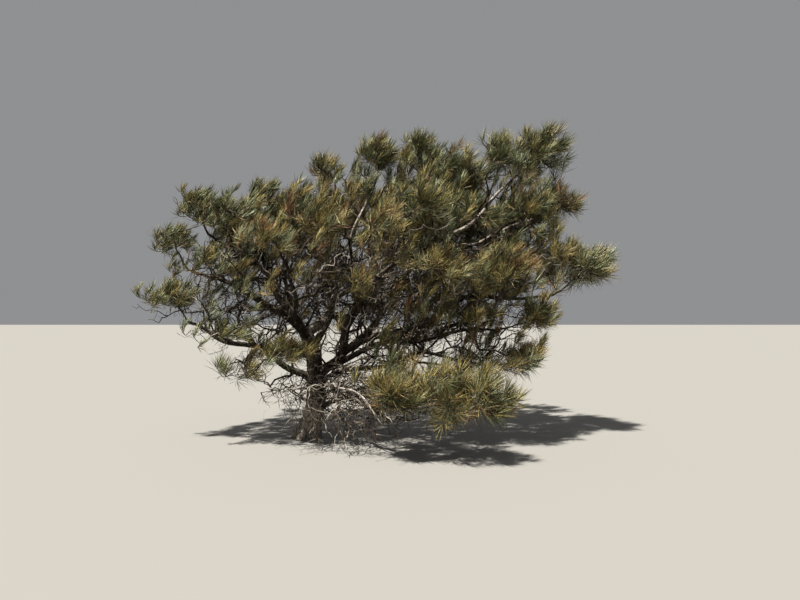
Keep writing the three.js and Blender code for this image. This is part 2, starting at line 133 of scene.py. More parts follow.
# %% The masses of foliage
Mass = namedtuple("Mass", "name parent at centre half")
MASSES = [
    Mass(name, parent, at, np.array(centre) * MM, np.array(half) * MM)
    for name, parent, at, centre, half in [
        ("west_low_clump", "west_low_bough", 1, (-1590, -370, 1780), (530, 460, 320)),
        ("west_low_inner", "west_low_bough", 0.45, (-850, -560, 1420), (460, 400, 340)),
        ("west_mid_tip", "west_mid_bough", 1, (-1700, -120, 2540), (340, 400, 300)),
        ("west_mid_clump", "west_mid_bough", 0.75, (-1120, -420, 2200), (460, 460, 290)),
        ("west_high_tip", "west_high_bough", 1, (-1420, 20, 2990), (380, 460, 360)),
        ("west_high_clump", "west_high_bough", 0.8, (-870, -300, 2810), (430, 460, 370)),
        ("west_twin", "west_top_bough", 1, (-640, 180, 3220), (360, 400, 290)),
        ("tuft_left", "tuft_bough", 1, (-110, -120, 3050), (350, 380, 310)),
        ("west_front", "front_west_bough", 0.85, (-340, -900, 2440), (460, 430, 340)),
        ("centre_left", "front_west_bough", 1, (330, -850, 2620), (430, 430, 360)),
        ("lone_tuft", "top_left_stem", 0.22, (230, 0, 3460), (340, 370, 300)),
        ("top_left", "top_left_stem", 1, (900, 0, 3640), (380, 410, 400)),
        ("top_mid", "leader", 1, (1450, 60, 3680), (380, 440, 450)),
        ("top_saddle", "east_leader", 0.55, (1970, -40, 3370), (400, 460, 440)),
        ("top_right", "east_leader", 0.85, (2450, -290, 3570), (370, 460, 450)),
        ("top_far", "east_leader", 1, (3030, -20, 3690), (430, 500, 490)),
        ("right_shoulder", "upper_right_bough", 1, (3270, 60, 3060), (330, 400, 290)),
        ("upper_right", "upper_right_bough", 0.65, (2750, -340, 2790), (390, 460, 430)),
        ("lobe", "right_bough", 1, (3540, 0, 2210), (600, 470, 380)),
        ("right_mid", "right_bough", 0.6, (2400, -700, 2090), (500, 460, 350)),
        ("right_inner", "front_east_bough", 0.8, (1630, -1080, 2080), (440, 430, 300)),
        ("right_low", "low_east_bough", 1, (2870, -380, 1540), (430, 460, 370)),
        ("right_low_inner", "low_east_bough", 0.7, (2110, -680, 1580), (460, 440, 280)),
        ("lowest", "lowest_east_bough", 1, (2680, -560, 1020), (400, 410, 290)),
        ("front_shell_left", "front_east_bough", 0.6, (870, -1290, 2560), (450, 460, 370)),
        ("front_shell_right", "front_east_bough", 1, (1480, -1100, 2790), (440, 460, 390)),
        ("upper_front", "east_leader", 0.4, (2130, -880, 2700), (470, 460, 390)),
        ("trunk_tufts", "trunk", 0.62, (-70, -580, 1120), (560, 400, 250)),
        ("skirt_near", "skirt_bough", 0.7, (1050, -1320, 680), (490, 460, 380)),
        ("skirt_far", "skirt_bough", 1, (1960, -1300, 690), (600, 500, 400)),
        ("back_left", "back_west_bough", 1, (-1120, 1080, 2560), (620, 600, 440)),
        ("back_left_inner", "back_west_bough", 0.6, (-360, 760, 2850), (520, 520, 410)),
        ("back_mid", "back_bough", 1, (130, 1480, 3060), (640, 620, 480)),
        ("back_centre", "back_bough", 0.7, (700, 780, 3140), (520, 500, 440)),
        ("back_right", "back_bough", 0.85, (1330, 1500, 3170), (640, 620, 500)),
        ("back_right_inner", "back_east_bough", 0.6, (1820, 760, 2980), (520, 480, 460)),
        ("back_east", "back_east_bough", 1, (2650, 1280, 2900), (640, 620, 560)),
        ("back_east_low", "back_east_bough", 0.8, (2720, 760, 2010), (520, 480, 420)),
        ("inner_twigs", "trunk", 1, (560, -330, 1900), (860, 420, 480)),
    ]
]
BARE = "inner_twigs"
print(len(MASSES), "masses; their ellipsoids hold", end=" ")
print(round(sum(4 / 3 * math.pi * math.prod(mass.half) for mass in MASSES), 1), "cubic metres")

# %% [markdown]
# ## Chance that repeats
#
# No two twigs are alike, yet every run has to grow the same tree. Python's own random module would do
# with a seed. The CAD source uses a plain linear congruential generator, so the same one is written
# here, and a twig takes the same turns in both. Each kind of thing starts its seeds at a number of its
# own, and adds the index of the thing.

# %% Seeded draws from 0 to 1
def draws(seed):
    state = ((seed + 1) * 2654435761) % 2**32

    def draw():
        nonlocal state
        state = (state * 1664525 + 1013904223) % 2**32
        return state / 2**32

    draw()
    return draw


sample = draws(3)
print("the trunk's crook starts from", [round(sample(), 4) for _ in range(3)])

# %% [markdown]
# ## The line of a limb
#
# A bough bends once on the whole, from its root through one place to its tip, and wavers a little on
# the way. A curve object could hold that, but the rule asks for places and directions at any
# share of the length, so a small class answers with arrays. The waver dies out at both ends, and the
# limb still starts and ends where the plan says.

# %% A line with one bend and a slight crook
CROOK_TURNS = 1.7
UP = np.array([0.0, 0.0, 1.0])


def unit(vectors):
    return vectors / np.linalg.norm(vectors, axis=-1, keepdims=True)


class Line:
    def __init__(self, start, via, tip, crook, seed):
        self.start, self.tip, self.crook = start, tip, crook
        self.bend = 2 * via - 0.5 * start - 0.5 * tip
        draw = draws(seed)
        self.phases = np.array([draw(), draw(), draw()])

    def at(self, share):
        t = np.asarray(share, float)[..., None]
        whole = (1 - t) ** 2 * self.start + 2 * t * (1 - t) * self.bend + t**2 * self.tip
        swing = self.crook * np.sin(np.pi * t)
        return whole + swing * np.sin(2 * np.pi * (CROOK_TURNS * t + self.phases))

    def along(self, share):
        low = np.clip(np.asarray(share, float) - 0.001, 0, 0.998)
        return unit(self.at(low + 0.002) - self.at(low))

    def length(self):
        return np.linalg.norm(np.diff(self.at(np.linspace(0, 1, 21)), axis=0), axis=1).sum()

    def across(self, share):
        """Two directions square to the line; the reference is the axis it runs least along."""
        along = self.along(share)
        whole = self.tip - self.start
        reference = np.array([0.0, 1.0, 0.0]) if abs(whole[1]) < abs(whole[2]) else UP
        side = unit(np.cross(along, reference))
        return side, np.cross(along, side)

    def outward(self, share, roll):
        """The direction square to the line, at an angle round it."""
        side, up = self.across(share)
        return side * math.cos(roll) + up * math.sin(roll)


# %% The lines of the trunk and the limbs
TRUNK_TIP = np.array([-40, 0, 1400]) * MM
TRUNK_ROOT, TRUNK_TAPER = 128 * MM, 42 * MM
lines = {"trunk": Line(np.zeros(3), np.array([110, 0, 730]) * MM, TRUNK_TIP, 12 * MM, 3)}
for index, limb in enumerate(LIMBS):
    start = lines[limb.parent].at(limb.at)
    crook = 0.03 * np.linalg.norm(limb.tip - start)
    lines[limb.name] = Line(start, limb.via, limb.tip, crook, 17 + index)
limb_length = {name: line.length() for name, line in lines.items()}
print("length of trunk and limbs together", round(sum(limb_length.values()), 1), "m")

# %% [markdown]
# ## Node trees from Python
#
# Geometry Nodes will roughen the bark, draw the twigs and set out the needles, and shader nodes give
# every finish. Adding each node by hand takes many lines and hides the sums. So one class holds a
# tree and adds any node from its type, its settings and its inputs, and another wraps an output
# socket, so that sums are written as plain Python: 1 - mask adds its Math node by itself. Vectors go
# through Vector Math, because a Math node would keep only a single number.

# %% A board of nodes, and wires that can be added and multiplied
def wide(wire):
    """Whether a wire carries a vector or a colour, rather than one number."""
    return isinstance(wire, Wire) and wire.socket.type in ("VECTOR", "RGBA")


class Wire:
    def __init__(self, board, socket):
        self.board, self.socket = board, socket

    def _sum(self, operation, first, second):
        if wide(first) and wide(second):
            kind = "ShaderNodeVectorMath"
        elif wide(first) or wide(second):
            vector, number = (first, second) if wide(first) else (second, first)
            inputs = {0: vector, "Scale": number}
            return self.board.node("ShaderNodeVectorMath", {"operation": "SCALE"}, inputs)["Vector"]
        else:
            kind = "ShaderNodeMath"
        return self.board.node(kind, {"operation": operation}, {0: first, 1: second})[0]

    def __add__(self, other):
        return self._sum("ADD", self, other)

    def __radd__(self, other):
        return self._sum("ADD", other, self)

    def __sub__(self, other):
        return self._sum("SUBTRACT", self, other)

    def __rsub__(self, other):
        return self._sum("SUBTRACT", other, self)

    def __mul__(self, other):
        return self._sum("MULTIPLY", self, other)

    def __rmul__(self, other):
        return self._sum("MULTIPLY", other, self)


class Board:
    def __init__(self, tree):
        self.tree = tree

    def node(self, kind, settings=None, inputs=None):
        node = self.tree.nodes.new(kind)
        for key, value in (settings or {}).items():
            setattr(node, key, value)
        for key, value in (inputs or {}).items():
            if isinstance(key, int):
                socket = node.inputs[key]
            else:
                socket = next(s for s in node.inputs if key in (s.name, s.identifier) and s.enabled)
            if isinstance(value, Wire):
                self.tree.links.new(value.socket, socket)
            else:
                socket.default_value = value
        return Outputs(self, node)

    def maths(self, operation, *values):
        return self.node("ShaderNodeMath", {"operation": operation}, dict(enumerate(values)))[0]

    def stored(self, label, kind="FLOAT"):
        """What a mesh keeps under a label."""
        return self.node("GeometryNodeInputNamedAttribute", {"data_type": kind}, {"Name": label})[0]


class Outputs:
    def __init__(self, board, node):
        self.board, self.node = board, node

    def __getitem__(self, key):
        if isinstance(key, int):
            return Wire(self.board, self.node.outputs[key])
        sockets = [s for s in self.node.outputs if key in (s.name, s.identifier) and s.enabled]
        return Wire(self.board, sockets[0])


print("a board adds nodes of any type")

# %% [markdown]
# ## Running a node tree once
#
# A live modifier would be lost in the export, so each tree runs once: its inputs are set by their
# identifiers, Blender evaluates the object, and the result is kept as a plain mesh. The lines that it
# grew from are removed. A line here is a row of mesh points joined by edges, with a radius each.

# %% Lines of points as an object
def add_object(name, data):
    thing = bpy.data.objects.new(name, data)
    bpy.context.scene.collection.objects.link(thing)
    return thing


def store(mesh, label, kind, values):
    """Keeps a value for each point of the mesh under a label; kind: FLOAT or FLOAT_VECTOR."""
    field = "vector" if kind == "FLOAT_VECTOR" else "value"
    mesh.attributes.new(label, kind, "POINT").data.foreach_set(field, values)


def line_object(rows, labels=("thickness",)):
    """rows: an array of points from root to tip, then an array of values for each label."""
    counts = [len(row[0]) for row in rows]
    mesh = bpy.data.meshes.new("lines")
    total = sum(counts)
    last = set(np.cumsum(counts) - 1)
    firsts = np.array([i for i in range(total) if i not in last])
    mesh.vertices.add(total)
    mesh.vertices.foreach_set("co", np.concatenate([row[0] for row in rows]).ravel())
    mesh.edges.add(len(firsts))
    mesh.edges.foreach_set("vertices", np.stack([firsts, firsts + 1], axis=1).ravel())
    for column, label in enumerate(labels, start=1):
        store(mesh, label, "FLOAT", np.concatenate([row[column] for row in rows]))
    return add_object("lines", mesh)


# %% A tree of nodes, and the mesh that it makes
def new_geometry_tree(name, sizes):
    """sizes: the name, socket type and default of each input after the geometry."""
    tree = bpy.data.node_groups.new(name, "GeometryNodeTree")
    tree.interface.new_socket("Geometry", in_out="INPUT", socket_type="NodeSocketGeometry")
    for label, kind, default in sizes:
        socket = tree.interface.new_socket(label, in_out="INPUT", socket_type=kind)
        if default is not None:
            socket.default_value = default
    tree.interface.new_socket("Geometry", in_out="OUTPUT", socket_type="NodeSocketGeometry")
    board = Board(tree)
    return tree, board, board.node("NodeGroupInput")


def end_tree(board, geometry, material, smooth):
    """Instances made real, shaded, given their material: the export keeps nothing else."""
    real = board.node("GeometryNodeRealizeInstances", None, {"Geometry": geometry})["Geometry"]
    shaded = board.node("GeometryNodeSetShadeSmooth", None, {"Geometry": real, "Shade Smooth": smooth})
    inputs = {"Geometry": shaded["Geometry"], "Material": material}
    painted = board.node("GeometryNodeSetMaterial", None, inputs)["Geometry"]
    board.node("NodeGroupOutput", None, {"Geometry": painted})


def run_tree(name, source, tree, values):
    modifier = source.modifiers.new("growth", "NODES")
    modifier.node_group = tree
    for item in tree.interface.items_tree:
        if item.in_out == "INPUT" and item.name in values:
            modifier[item.identifier] = values[item.name]
    evaluated = source.evaluated_get(bpy.context.evaluated_depsgraph_get())
    mesh = bpy.data.meshes.new_from_object(evaluated)
    mesh.name = name
    piece = add_object(name, mesh)
    bpy.data.objects.remove(source)
    triangles = sum(len(polygon.vertices) - 2 for polygon in mesh.polygons)
    print(name, triangles, "triangles")
    return piece


def keep_above(piece, height):
    """Whatever hangs lower is lifted, so that nothing runs into the ground."""
    places = np.empty(3 * len(piece.data.vertices), np.float32)
    piece.data.vertices.foreach_get("co", places)
    places[2::3] = np.maximum(places[2::3], height)
    piece.data.vertices.foreach_set("co", places)


def hand_over(piece, slot, nodes=()):
    """The piece rides the tree's one body, and replaces the CAD nodes that it stands for."""
    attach(piece, "root")
    if nodes:
        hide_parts(*nodes)


# %% [markdown]
# ## Finishes from nodes
#
# Each finish is a Principled shader whose colour comes from a few nodes. Colours are written as the
# hex numbers that a picture shows, and turned into the linear values that Blender reckons with. What
# is the same all over a finish, such as its roughness, is set on the shader's own socket.

# %% A finish, and colours for it
def colour(code):
    parts = [int(code[i : i + 2], 16) / 255 for i in (1, 3, 5)]
    return (*[p / 12.92 if p <= 0.04045 else ((p + 0.055) / 1.055) ** 2.4 for p in parts], 1.0)


def new_finish(name, roughness, specular):
    material = bpy.data.materials.new(name)
    material.use_nodes = True
    shader = material.node_tree.nodes["Principled BSDF"]
    shader.inputs["Roughness"].default_value = roughness
    shader.inputs["Specular IOR Level"].default_value = specular
    return material, Board(material.node_tree), shader


def mix(board, share, first, second):
    settings = {"data_type": "RGBA"}
    inputs = {"Factor_Float": share, "A_Color": first, "B_Color": second}
    return board.node("ShaderNodeMix", settings, inputs)["Result_Color"]


def ramp(board, wire, low, high):
    """0 below low and 1 above high, smooth between."""
    settings = {"interpolation_type": "SMOOTHSTEP"}
    inputs = {"Value": wire, "From Min": low, "From Max": high}
    return board.node("ShaderNodeMapRange", settings, inputs)["Result"]


def noise(board, place, scale, detail, output="Fac"):
    inputs = {"Vector": place, "Scale": scale, "Detail": detail}
    return board.node("ShaderNodeTexNoise", None, inputs)[output]


def feed(board, wire, shader, socket):
    board.tree.links.new(wire.socket, shader.inputs[socket])


# %% [markdown]
# ## Bark
#
# The trunk and old boughs wear thick bark, split into plates that are longer than wide. Its colours
# hold painted light: the bark is painted almost black inside the crown, as painted shade, and a warm
# grey on the sides that face the sky, as painted sunlight; the limbs that stand in the sun get a paler
# copy, and the cracks between the plates are painted near black, as painted shade. A bump map alone
# would leave the outline smooth, so the plates are in the mesh: a dense tube follows each limb, and a
# tree of nodes pushes it in along the edges of a cell pattern. The pattern reads a place stored on the
# mesh, wound round the limb and stretched along it, so it has no seam.

# %% The bark's finish
PLATE_STRETCH = 0.4
STIR = 0.012


def plate_edges(board, place, stir, scale):
    """How far a place is from the edge of its plate of bark; the stir makes the edges crooked."""
    inputs = {"Vector": place + stir * STIR, "Scale": scale}
    settings = {"feature": "DISTANCE_TO_EDGE"}
    return board.node("ShaderNodeTexVoronoi", settings, inputs)["Distance"]


def bark_finish(name, shade, plate, paler, painted_sun, foot=None):
    """Last two: how much of the sky-facing side gets painted sunlight, a paler colour; the colour low
    down.
    """
    material, board, shader = new_finish(name, 0.92, 0.15)
    place = board.node("ShaderNodeAttribute", {"attribute_name": "bark_place"})["Vector"]
    spot = {"Vector": place, "Scale": 34.0, "Detail": 6.0, "Roughness": 0.7}
    speckle = board.node("ShaderNodeTexNoise", None, spot)
    mottle = speckle["Fac"]
    patch = noise(board, place, 7.0, 3.0)
    crack = plate_edges(board, place, speckle["Color"], 30.0)
    facing = board.node("ShaderNodeTexCoord")["Normal"]
    upward = board.node("ShaderNodeSeparateXYZ", None, {"Vector": facing})["Z"]
    # The sides that face the sky are painted paler, as painted sunlight; the patches make the edge
    # uneven.
    sky = ramp(board, upward + patch * 0.9, 0.35, 1.25) * painted_sun
    skin = mix(board, ramp(board, mottle, 0.35, 0.65), colour(shade), colour(plate))
    if foot:
        where = board.node("ShaderNodeTexCoord")["Object"]
        above = board.node("ShaderNodeSeparateXYZ", None, {"Vector": where})["Z"]
        low = 1 - ramp(board, above + patch * 0.5, 0.55, 1.15)
        skin = mix(board, low * ramp(board, mottle, 0.25, 0.6), skin, colour(foot))
    # Painted sunlight: the paler colour laid on the sides that face the sky.
    skin = mix(board, sky * ramp(board, mottle, 0.3, 0.55), skin, colour(paler))
    # Painted shade: the cracks between the plates are painted near black.
    skin = mix(board, ramp(board, crack, 0.0, 0.09), colour("#14110e"), skin)
    feed(board, skin, shader, "Base Color")
    height = mottle * 0.5 + ramp(board, crack, 0.0, 0.12)
    bump = board.node("ShaderNodeBump", None, {"Height": height, "Strength": 0.6, "Distance": 0.004})
    feed(board, bump["Normal"], shader, "Normal")
    return material


# Painted shade: the near-black trunk and bough barks; painted light: the paler bark of the limbs in the
# sun.
old_bark = bark_finish("old_bark", "#2b2520", "#544b41", "#958c80", 0.8, "#9d958a")
bough_bark = bark_finish("bough_bark", "#231d18", "#3f372f", "#8b8378", 0.7)
sunlit_bark = bark_finish("sunlit_bark", "#7b7267", "#978e82", "#c0b8ad", 1.0)
dead_wood = bark_finish("dead_wood", "#6b645c", "#938b82", "#b5aea6", 1.0)
print("four barks, from old and dark to dead and pale")

# %% A dense tube round a line, with the place of its bark stored on it
FLARE, FLARE_HEIGHT = 78 * MM, 170 * MM
BUTTRESSES = 5


def limb_radius(limb, length, t):
    """It tapers to its end, and swells to a collar where it leaves its parent."""
    taper = limb.end + (limb.root - limb.end) * (1 - t) ** 0.85
    return taper + 0.15 * limb.root * np.exp(-t * length / (2 * limb.root))


def trunk_radius(t, angle):
    flare = FLARE * np.exp(-t * TRUNK_TIP[2] / FLARE_HEIGHT)
    return TRUNK_ROOT - TRUNK_TAPER * t + flare * (0.75 + 0.45 * np.cos(BUTTRESSES * angle + 0.6))


def tube(line, radius_at, sides, step, on_ground=False):
    """Points, quads, bark places and radii; a tube that stands on the ground is cut flat there."""
    length = line.length()
    share = np.linspace(0, 1, max(8, round(length / step)) + 1)
    angle = np.linspace(0, 2 * np.pi, sides, endpoint=False)
    centre = line.at(share)
    side, up = line.across(share)
    radius = radius_at(share[:, None], angle[None, :]) * np.ones((len(share), sides))
    turn = np.cos(angle)[None, :, None] * side[:, None] + np.sin(angle)[None, :, None] * up[:, None]
    points = centre[:, None] + radius[..., None] * turn
    place = np.stack([radius * np.cos(angle), radius * np.sin(angle)], axis=2)
    along = np.broadcast_to((share * length * PLATE_STRETCH)[:, None, None], (len(share), sides, 1))
    place = np.concatenate([place, along], axis=2)
    if on_ground:
        points[..., 2] = np.maximum(points[..., 2], 0.0)
        points[0, :, 2] = 0.0
    ring = np.arange(sides)
    after = (ring + 1) % sides
    row = np.arange(len(share) - 1)[:, None] * sides
    quads = np.stack([row + ring, row + after, row + sides + after, row + sides + ring], axis=2)
    return points, quads.reshape(-1, 4), place, radius


def tube_piece(tubes):
    """One mesh object from several tubes, each closed by a fan at both ends."""
    points, faces, places, girths, first = [], [], [], [], 0
    for ring_points, quads, place, radius in tubes:
        rings, sides = ring_points.shape[:2]
        ends = [ring_points[0].mean(0), ring_points[-1].mean(0)]
        points += [ring_points.reshape(-1, 3), np.array(ends)]
        places += [place.reshape(-1, 3), place[[0, -1]].mean(axis=1)]
        girths += [radius.ravel(), radius[[0, -1]].mean(axis=1)]
        root, tip = first + rings * sides, first + rings * sides + 1
        last = first + (rings - 1) * sides
        faces += (quads + first).tolist()
        faces += [(root, first + (i + 1) % sides, first + i) for i in range(sides)]
        faces += [(tip, last + i, last + (i + 1) % sides) for i in range(sides)]
        first += rings * sides + 2
    mesh = bpy.data.meshes.new("tubes")
    mesh.from_pydata(np.concatenate(points).tolist(), [], faces)
    store(mesh, "bark_place", "FLOAT_VECTOR", np.concatenate(places).ravel())
    store(mesh, "girth", "FLOAT", np.concatenate(girths))
    return add_object("tubes", mesh)


trunk_tube = tube(lines["trunk"], trunk_radius, 96, 0.011, on_ground=True)
print("trunk tube", trunk_tube[0].shape[:2], "rings and sides")

# %% A tree of nodes that presses plates and swellings into a tube
relief, board, given = new_geometry_tree(
    "bark_relief",
    [
        ("Plates per metre", "NodeSocketFloat", 30.0),
        ("Crack depth", "NodeSocketFloat", 0.006),
        ("Swelling", "NodeSocketFloat", 0.008),
        ("Material", "NodeSocketMaterial", None),
    ],
)
place = board.stored("bark_place", "FLOAT_VECTOR")
girth = board.stored("girth")
stir = noise(board, place, 34.0, 3.0, "Color")
plate = ramp(board, plate_edges(board, place, stir, given["Plates per metre"]), 0.0, 0.16)
swell = noise(board, place, 5.0, 2.0)
depth = board.maths("MINIMUM", given["Crack depth"], girth * 0.1)
room = board.maths("MINIMUM", given["Swelling"], girth * 0.3)
push = (plate - 0.8) * depth + (swell - 0.5) * room
normal = board.node("GeometryNodeInputNormal")["Normal"]
inputs = {"Geometry": given["Geometry"], "Offset": normal * push}
moved = board.node("GeometryNodeSetPosition", None, inputs)
end_tree(board, moved["Geometry"], given["Material"], True)
print("bark relief:", len(relief.nodes), "nodes")

# %% Trunk and boughs in their bark
SUNLIT = ("east_leader", "top_left_stem", "upper_right_bough", "leader")
THICK = 40 * MM


def limb_tube(limb):
    length = limb_length[limb.name]
    sides = 20 if limb.root > THICK else 12
    return tube(lines[limb.name], lambda t, angle: limb_radius(limb, length, t), sides, 0.02)


def bark_values(plates, depth, swelling, material):
    return {"Plates per metre": plates, "Crack depth": depth, "Swelling": swelling, "Material": material}


def add_bark(name, tubes, values, slot, nodes):
    piece = run_tree(name, tube_piece(tubes), relief, values)
    keep_above(piece, 0.0)
    hand_over(piece, slot, nodes)


# Lit and shaded copies: limbs in the sun get the paler bark, painted light; the rest near black, painted
# shade.
shaded = [limb for limb in LIMBS if limb.name not in (*SUNLIT, DEAD)]
sunlit = [limb for limb in LIMBS if limb.name in SUNLIT]
snag = [limb for limb in LIMBS if limb.name == DEAD]
add_bark("trunk_bark", [trunk_tube], bark_values(26.0, 0.009, 0.014, old_bark), "bark", ["trunk"])
for name, limbs, values, slot in (
    ("boughs", shaded, bark_values(40.0, 0.004, 0.012, bough_bark), "bark"),
    ("sunlit_boughs", sunlit, bark_values(46.0, 0.003, 0.012, sunlit_bark), "bark"),
    ("dead_snag_wood", snag, bark_values(50.0, 0.002, 0.01, dead_wood), "dead_wood"),
):
    add_bark(name, [limb_tube(limb) for limb in limbs], values, slot, [limb.name for limb in limbs])

# %% [markdown]
# ## Each mass keeps to its own space
#
# Tufts on neighbouring boughs don't grow through each other in life, because shade and wind keep them
# apart. The CAD rule gives each mass its ellipsoid, cut by a plane between it and every neighbour.
# The same test is written here with arrays, so that many points are asked about at once.

# %% The space of a mass
WIND = unit(np.array([0.8, 0.05, 0.6]))


def reach_along(mass, direction):
    return 1 / np.linalg.norm(direction / mass.half)


def planes_of(mass):
    normals, limits = [], []
    for other in MASSES:
        if other is mass:
            continue
        away = other.centre - mass.centre
        distance = np.linalg.norm(away)
        normal = away / distance
        own, theirs = reach_along(mass, normal), reach_along(other, normal)
        normals.append(normal)
        limits.append(normal @ mass.centre + distance * own / (own + theirs))
    return np.array(normals), np.array(limits)


planes = {mass.name: planes_of(mass) for mass in MASSES}


def in_space(mass, points, room=1.0):
    normals, limits = planes[mass.name]
    rounded = np.linalg.norm((points - mass.centre) / mass.half, axis=-1) <= room
    walled = (points @ normals.T <= limits + (room - 1) * 0.4).all(axis=-1)
    return bool((rounded & walled).all())


# %% [markdown]
# ## Stems and twigs by the CAD rule
#
# A mass hangs on one stem. Twigs leave the stem, or each other, and each is aimed at a place well out
# in the ellipsoid: the golden angle spreads the places evenly, with no rows. A twig takes the nearest
# place to leave from that lets it set off to the side. One that would leave the space or run through a
# bough is skipped, as in the CAD source. The real tree has more tufts than the solids can hold, so the
# rule is carried on here past the CAD count.

# %% Stems
MORE_TUFTS = 2.2
AREA_OF_TUFT = 0.352
FULLER = (
    "lobe", "top_far", "top_right", "top_saddle", "top_mid", "top_left", "tuft_left", "trunk_tufts",
    "right_shoulder", "upper_right", "skirt_near", "skirt_far", "west_high_tip", "west_high_clump",
    "west_mid_tip", "west_twin", "west_low_clump", "west_low_inner",
)
TRIES = 8
TUFT_LENGTH = 0.44
FULL_TURN = 6.28
GOLDEN_ANGLE = math.pi * (3 - math.sqrt(5))
Twig = namedtuple("Twig", "line root_radius tip_radius bare_to")
limb_ends = {limb.name: (limb.root, limb.end) for limb in LIMBS}
limb_ends["trunk"] = (TRUNK_ROOT, TRUNK_ROOT - TRUNK_TAPER)


def stem_of(mass, index):
    limb = lines[mass.parent]
    along = limb.along(mass.at)
    start = limb.at(mass.at)
    tip = mass.centre + WIND * 0.1 * mass.half[0]
    reach = np.linalg.norm(tip - start)
    leaving = along if mass.at == 1 else unit(along + 0.6 * UP)
    via = (start + tip) / 2 + leaving * 0.12 * reach
    root, end = limb_ends[mass.parent]
    radius = min(0.02, 0.95 * end if mass.at == 1 else 0.7 * root)
    return Twig(Line(start, via, tip, 0.02 * reach, 101 + index), radius, 0.007, 1.0)


stems = [stem_of(mass, index) for index, mass in enumerate(MASSES)]
print(len(stems), "stems,", round(sum(stem.line.length() for stem in stems), 1), "m in all")

# %% Where twigs must not run: close to a limb
def beads(line, radius_at, step=0.04):
    share = np.linspace(0, 1, max(3, round(line.length() / step)))
    return line.at(share), np.broadcast_to(radius_at(share), share.shape)


limb_beads = [beads(lines["trunk"], lambda t: TRUNK_ROOT - TRUNK_TAPER * t)]
for limb in LIMBS:
    length = limb_length[limb.name]
    limb_beads.append(beads(lines[limb.name], lambda t: limb_radius(limb, length, t)))
limb_points = np.concatenate([points for points, _ in limb_beads])
limb_girths = np.concatenate([girths for _, girths in limb_beads])


def clear_of_limbs(points, gap):
    apart = np.linalg.norm(points[:, None] - limb_points[None], axis=2)
    return bool((apart > limb_girths + gap).all())


print(len(limb_points), "beads along the limbs")

# %% Twigs
def aim(mass, share, seed, draw, deeper):
    """A place well out in the ellipsoid, or at any depth for the twigs past the CAD count."""
    height = 1 - (1.85 if deeper else 1.5) * share
    round_ = math.sqrt(1 - height * height)
    angle = seed * GOLDEN_ANGLE + 0.5 * draw()
    outward = np.array([round_ * math.cos(angle), round_ * math.sin(angle), height])
    depth = 0.3 + 0.6 * draw() if deeper else 0.62 + 0.14 * draw()
    return mass.centre + mass.half * outward * depth


def leaving_shares(twig):
    """The places along a twig from which others may leave."""
    return np.linspace(0.12, twig.bare_to, 7)


def radius_of(twig, share):
    return twig.root_radius + (twig.tip_radius - twig.root_radius) * share


def place_to_leave(grown, target, least):
    """The nearest place on what has grown, from which the target lies well to the side."""
    best = None
    for twig in grown:
        share = leaving_shares(twig)
        points = twig.line.at(share)
        way = target - points
        distance = np.linalg.norm(way, axis=1)
        ahead = np.einsum("ij,ij->i", way, twig.line.along(share)) / distance
        facing = np.sqrt(np.maximum(0, 1 - ahead**2))
        cost = distance * (1.5 - 0.5 * facing)
        cost[(distance < least) | (ahead < -0.2)] = np.inf
        i = int(cost.argmin())
        if np.isfinite(cost[i]) and (best is None or cost[i] < best[0]):
            best = (cost[i], points[i], radius_of(twig, share[i]))
    return best


def grow(mass, index):
    a, b, c = mass.half
    area = 4 * math.pi * (a * b + b * c + a * c) / 3
    closeness = 2 if mass.name == BARE else 1
    count = max(3, round(closeness * area / AREA_OF_TUFT))
    wanted = round(count * MORE_TUFTS * (1.4 if mass.name in FULLER else 1.0))
    grown = [stems[index]]
    for tried in range(TRIES * wanted):
        if len(grown) > wanted:
            break
        seed = 1000 + 60 * index + tried
        draw = draws(seed)
        deeper = len(grown) > count
        target = aim(mass, ((tried + 0.5) / count) % 1, seed, draw, deeper)
        root = place_to_leave(grown, target, 0.17 if deeper else 0.27)
        if root is None:
            continue
        reach = np.linalg.norm(target - root[1])
        via = (root[1] + target) / 2 - WIND * 0.05 * reach - UP * 0.06 * reach
        line = Line(root[1], via, target, 0.03 * reach, seed)
        points = line.at(np.linspace(0.15, 1, 9))
        if not in_space(mass, points) or not clear_of_limbs(points, 0.012):
            continue
        bare_to = 1 - min(0.85, TUFT_LENGTH / line.length())
        grown.append(Twig(line, min(0.0085, 0.8 * root[2]), 0.0045, bare_to))
    return grown


grown = {mass.name: grow(mass, index) for index, mass in enumerate(MASSES)}
tufts = [(mass, twig) for mass in MASSES for twig in grown[mass.name][1:]]
print(len(tufts), "twigs")

# %% [markdown]
# ## Inner boughs
#
# The CAD has only the main boughs. In life each of them carries smaller ones all along, and these fill
# the crown between the masses. They leave their limb to the side by the golden angle and turn upwards
# and downwind. One that would leave the crown is skipped, and so is one that doubles back. Three
# limbs and the dead snag stand pale and bare in the sun on the real tree, so nothing grows in front of
# those or between them and the light. Round the foot the lowest boughs have died; they stay, and droop
# to the ground.

# %% Pale limbs that stay open to the eye and to the light
PALE = (
    ("east_leader", 0.7, 1.0), ("top_left_stem", 0.35, 0.75), ("upper_right_bough", 0.45, 0.95),
    (DEAD, 0.3, 1.0),
)
EYE = np.array([1.2, -7.8, 1.573])
LIGHT = np.array([-0.28, -0.38, 1.0])
pale_points = np.concatenate([lines[name].at(np.linspace(low, high, 30)) for name, low, high in PALE])
LOOKS = ((unit(EYE - pale_points), 3.0, 1.0), (unit(LIGHT), 0.9, 0.8))


def hides_pale_limb(point, room=0.09):
    """Whether a twig here stands before a pale limb, seen from the front or from the light."""
    away = point - pale_points
    for toward, far, share in LOOKS:
        ahead = (away * toward).sum(axis=1)
        aside = np.linalg.norm(away - ahead[:, None] * toward, axis=1)
        if ((ahead > 0.05) & (ahead < far) & (aside < share * room)).any():
            return True
    return False


print(len(pale_points), "places on pale limbs")

# %% Twigs that leave a line to the side
def region(*rows):
    """Ellipsoids, each a centre and half sizes."""
    return [(np.array(centre), np.array(half)) for centre, half in rows]


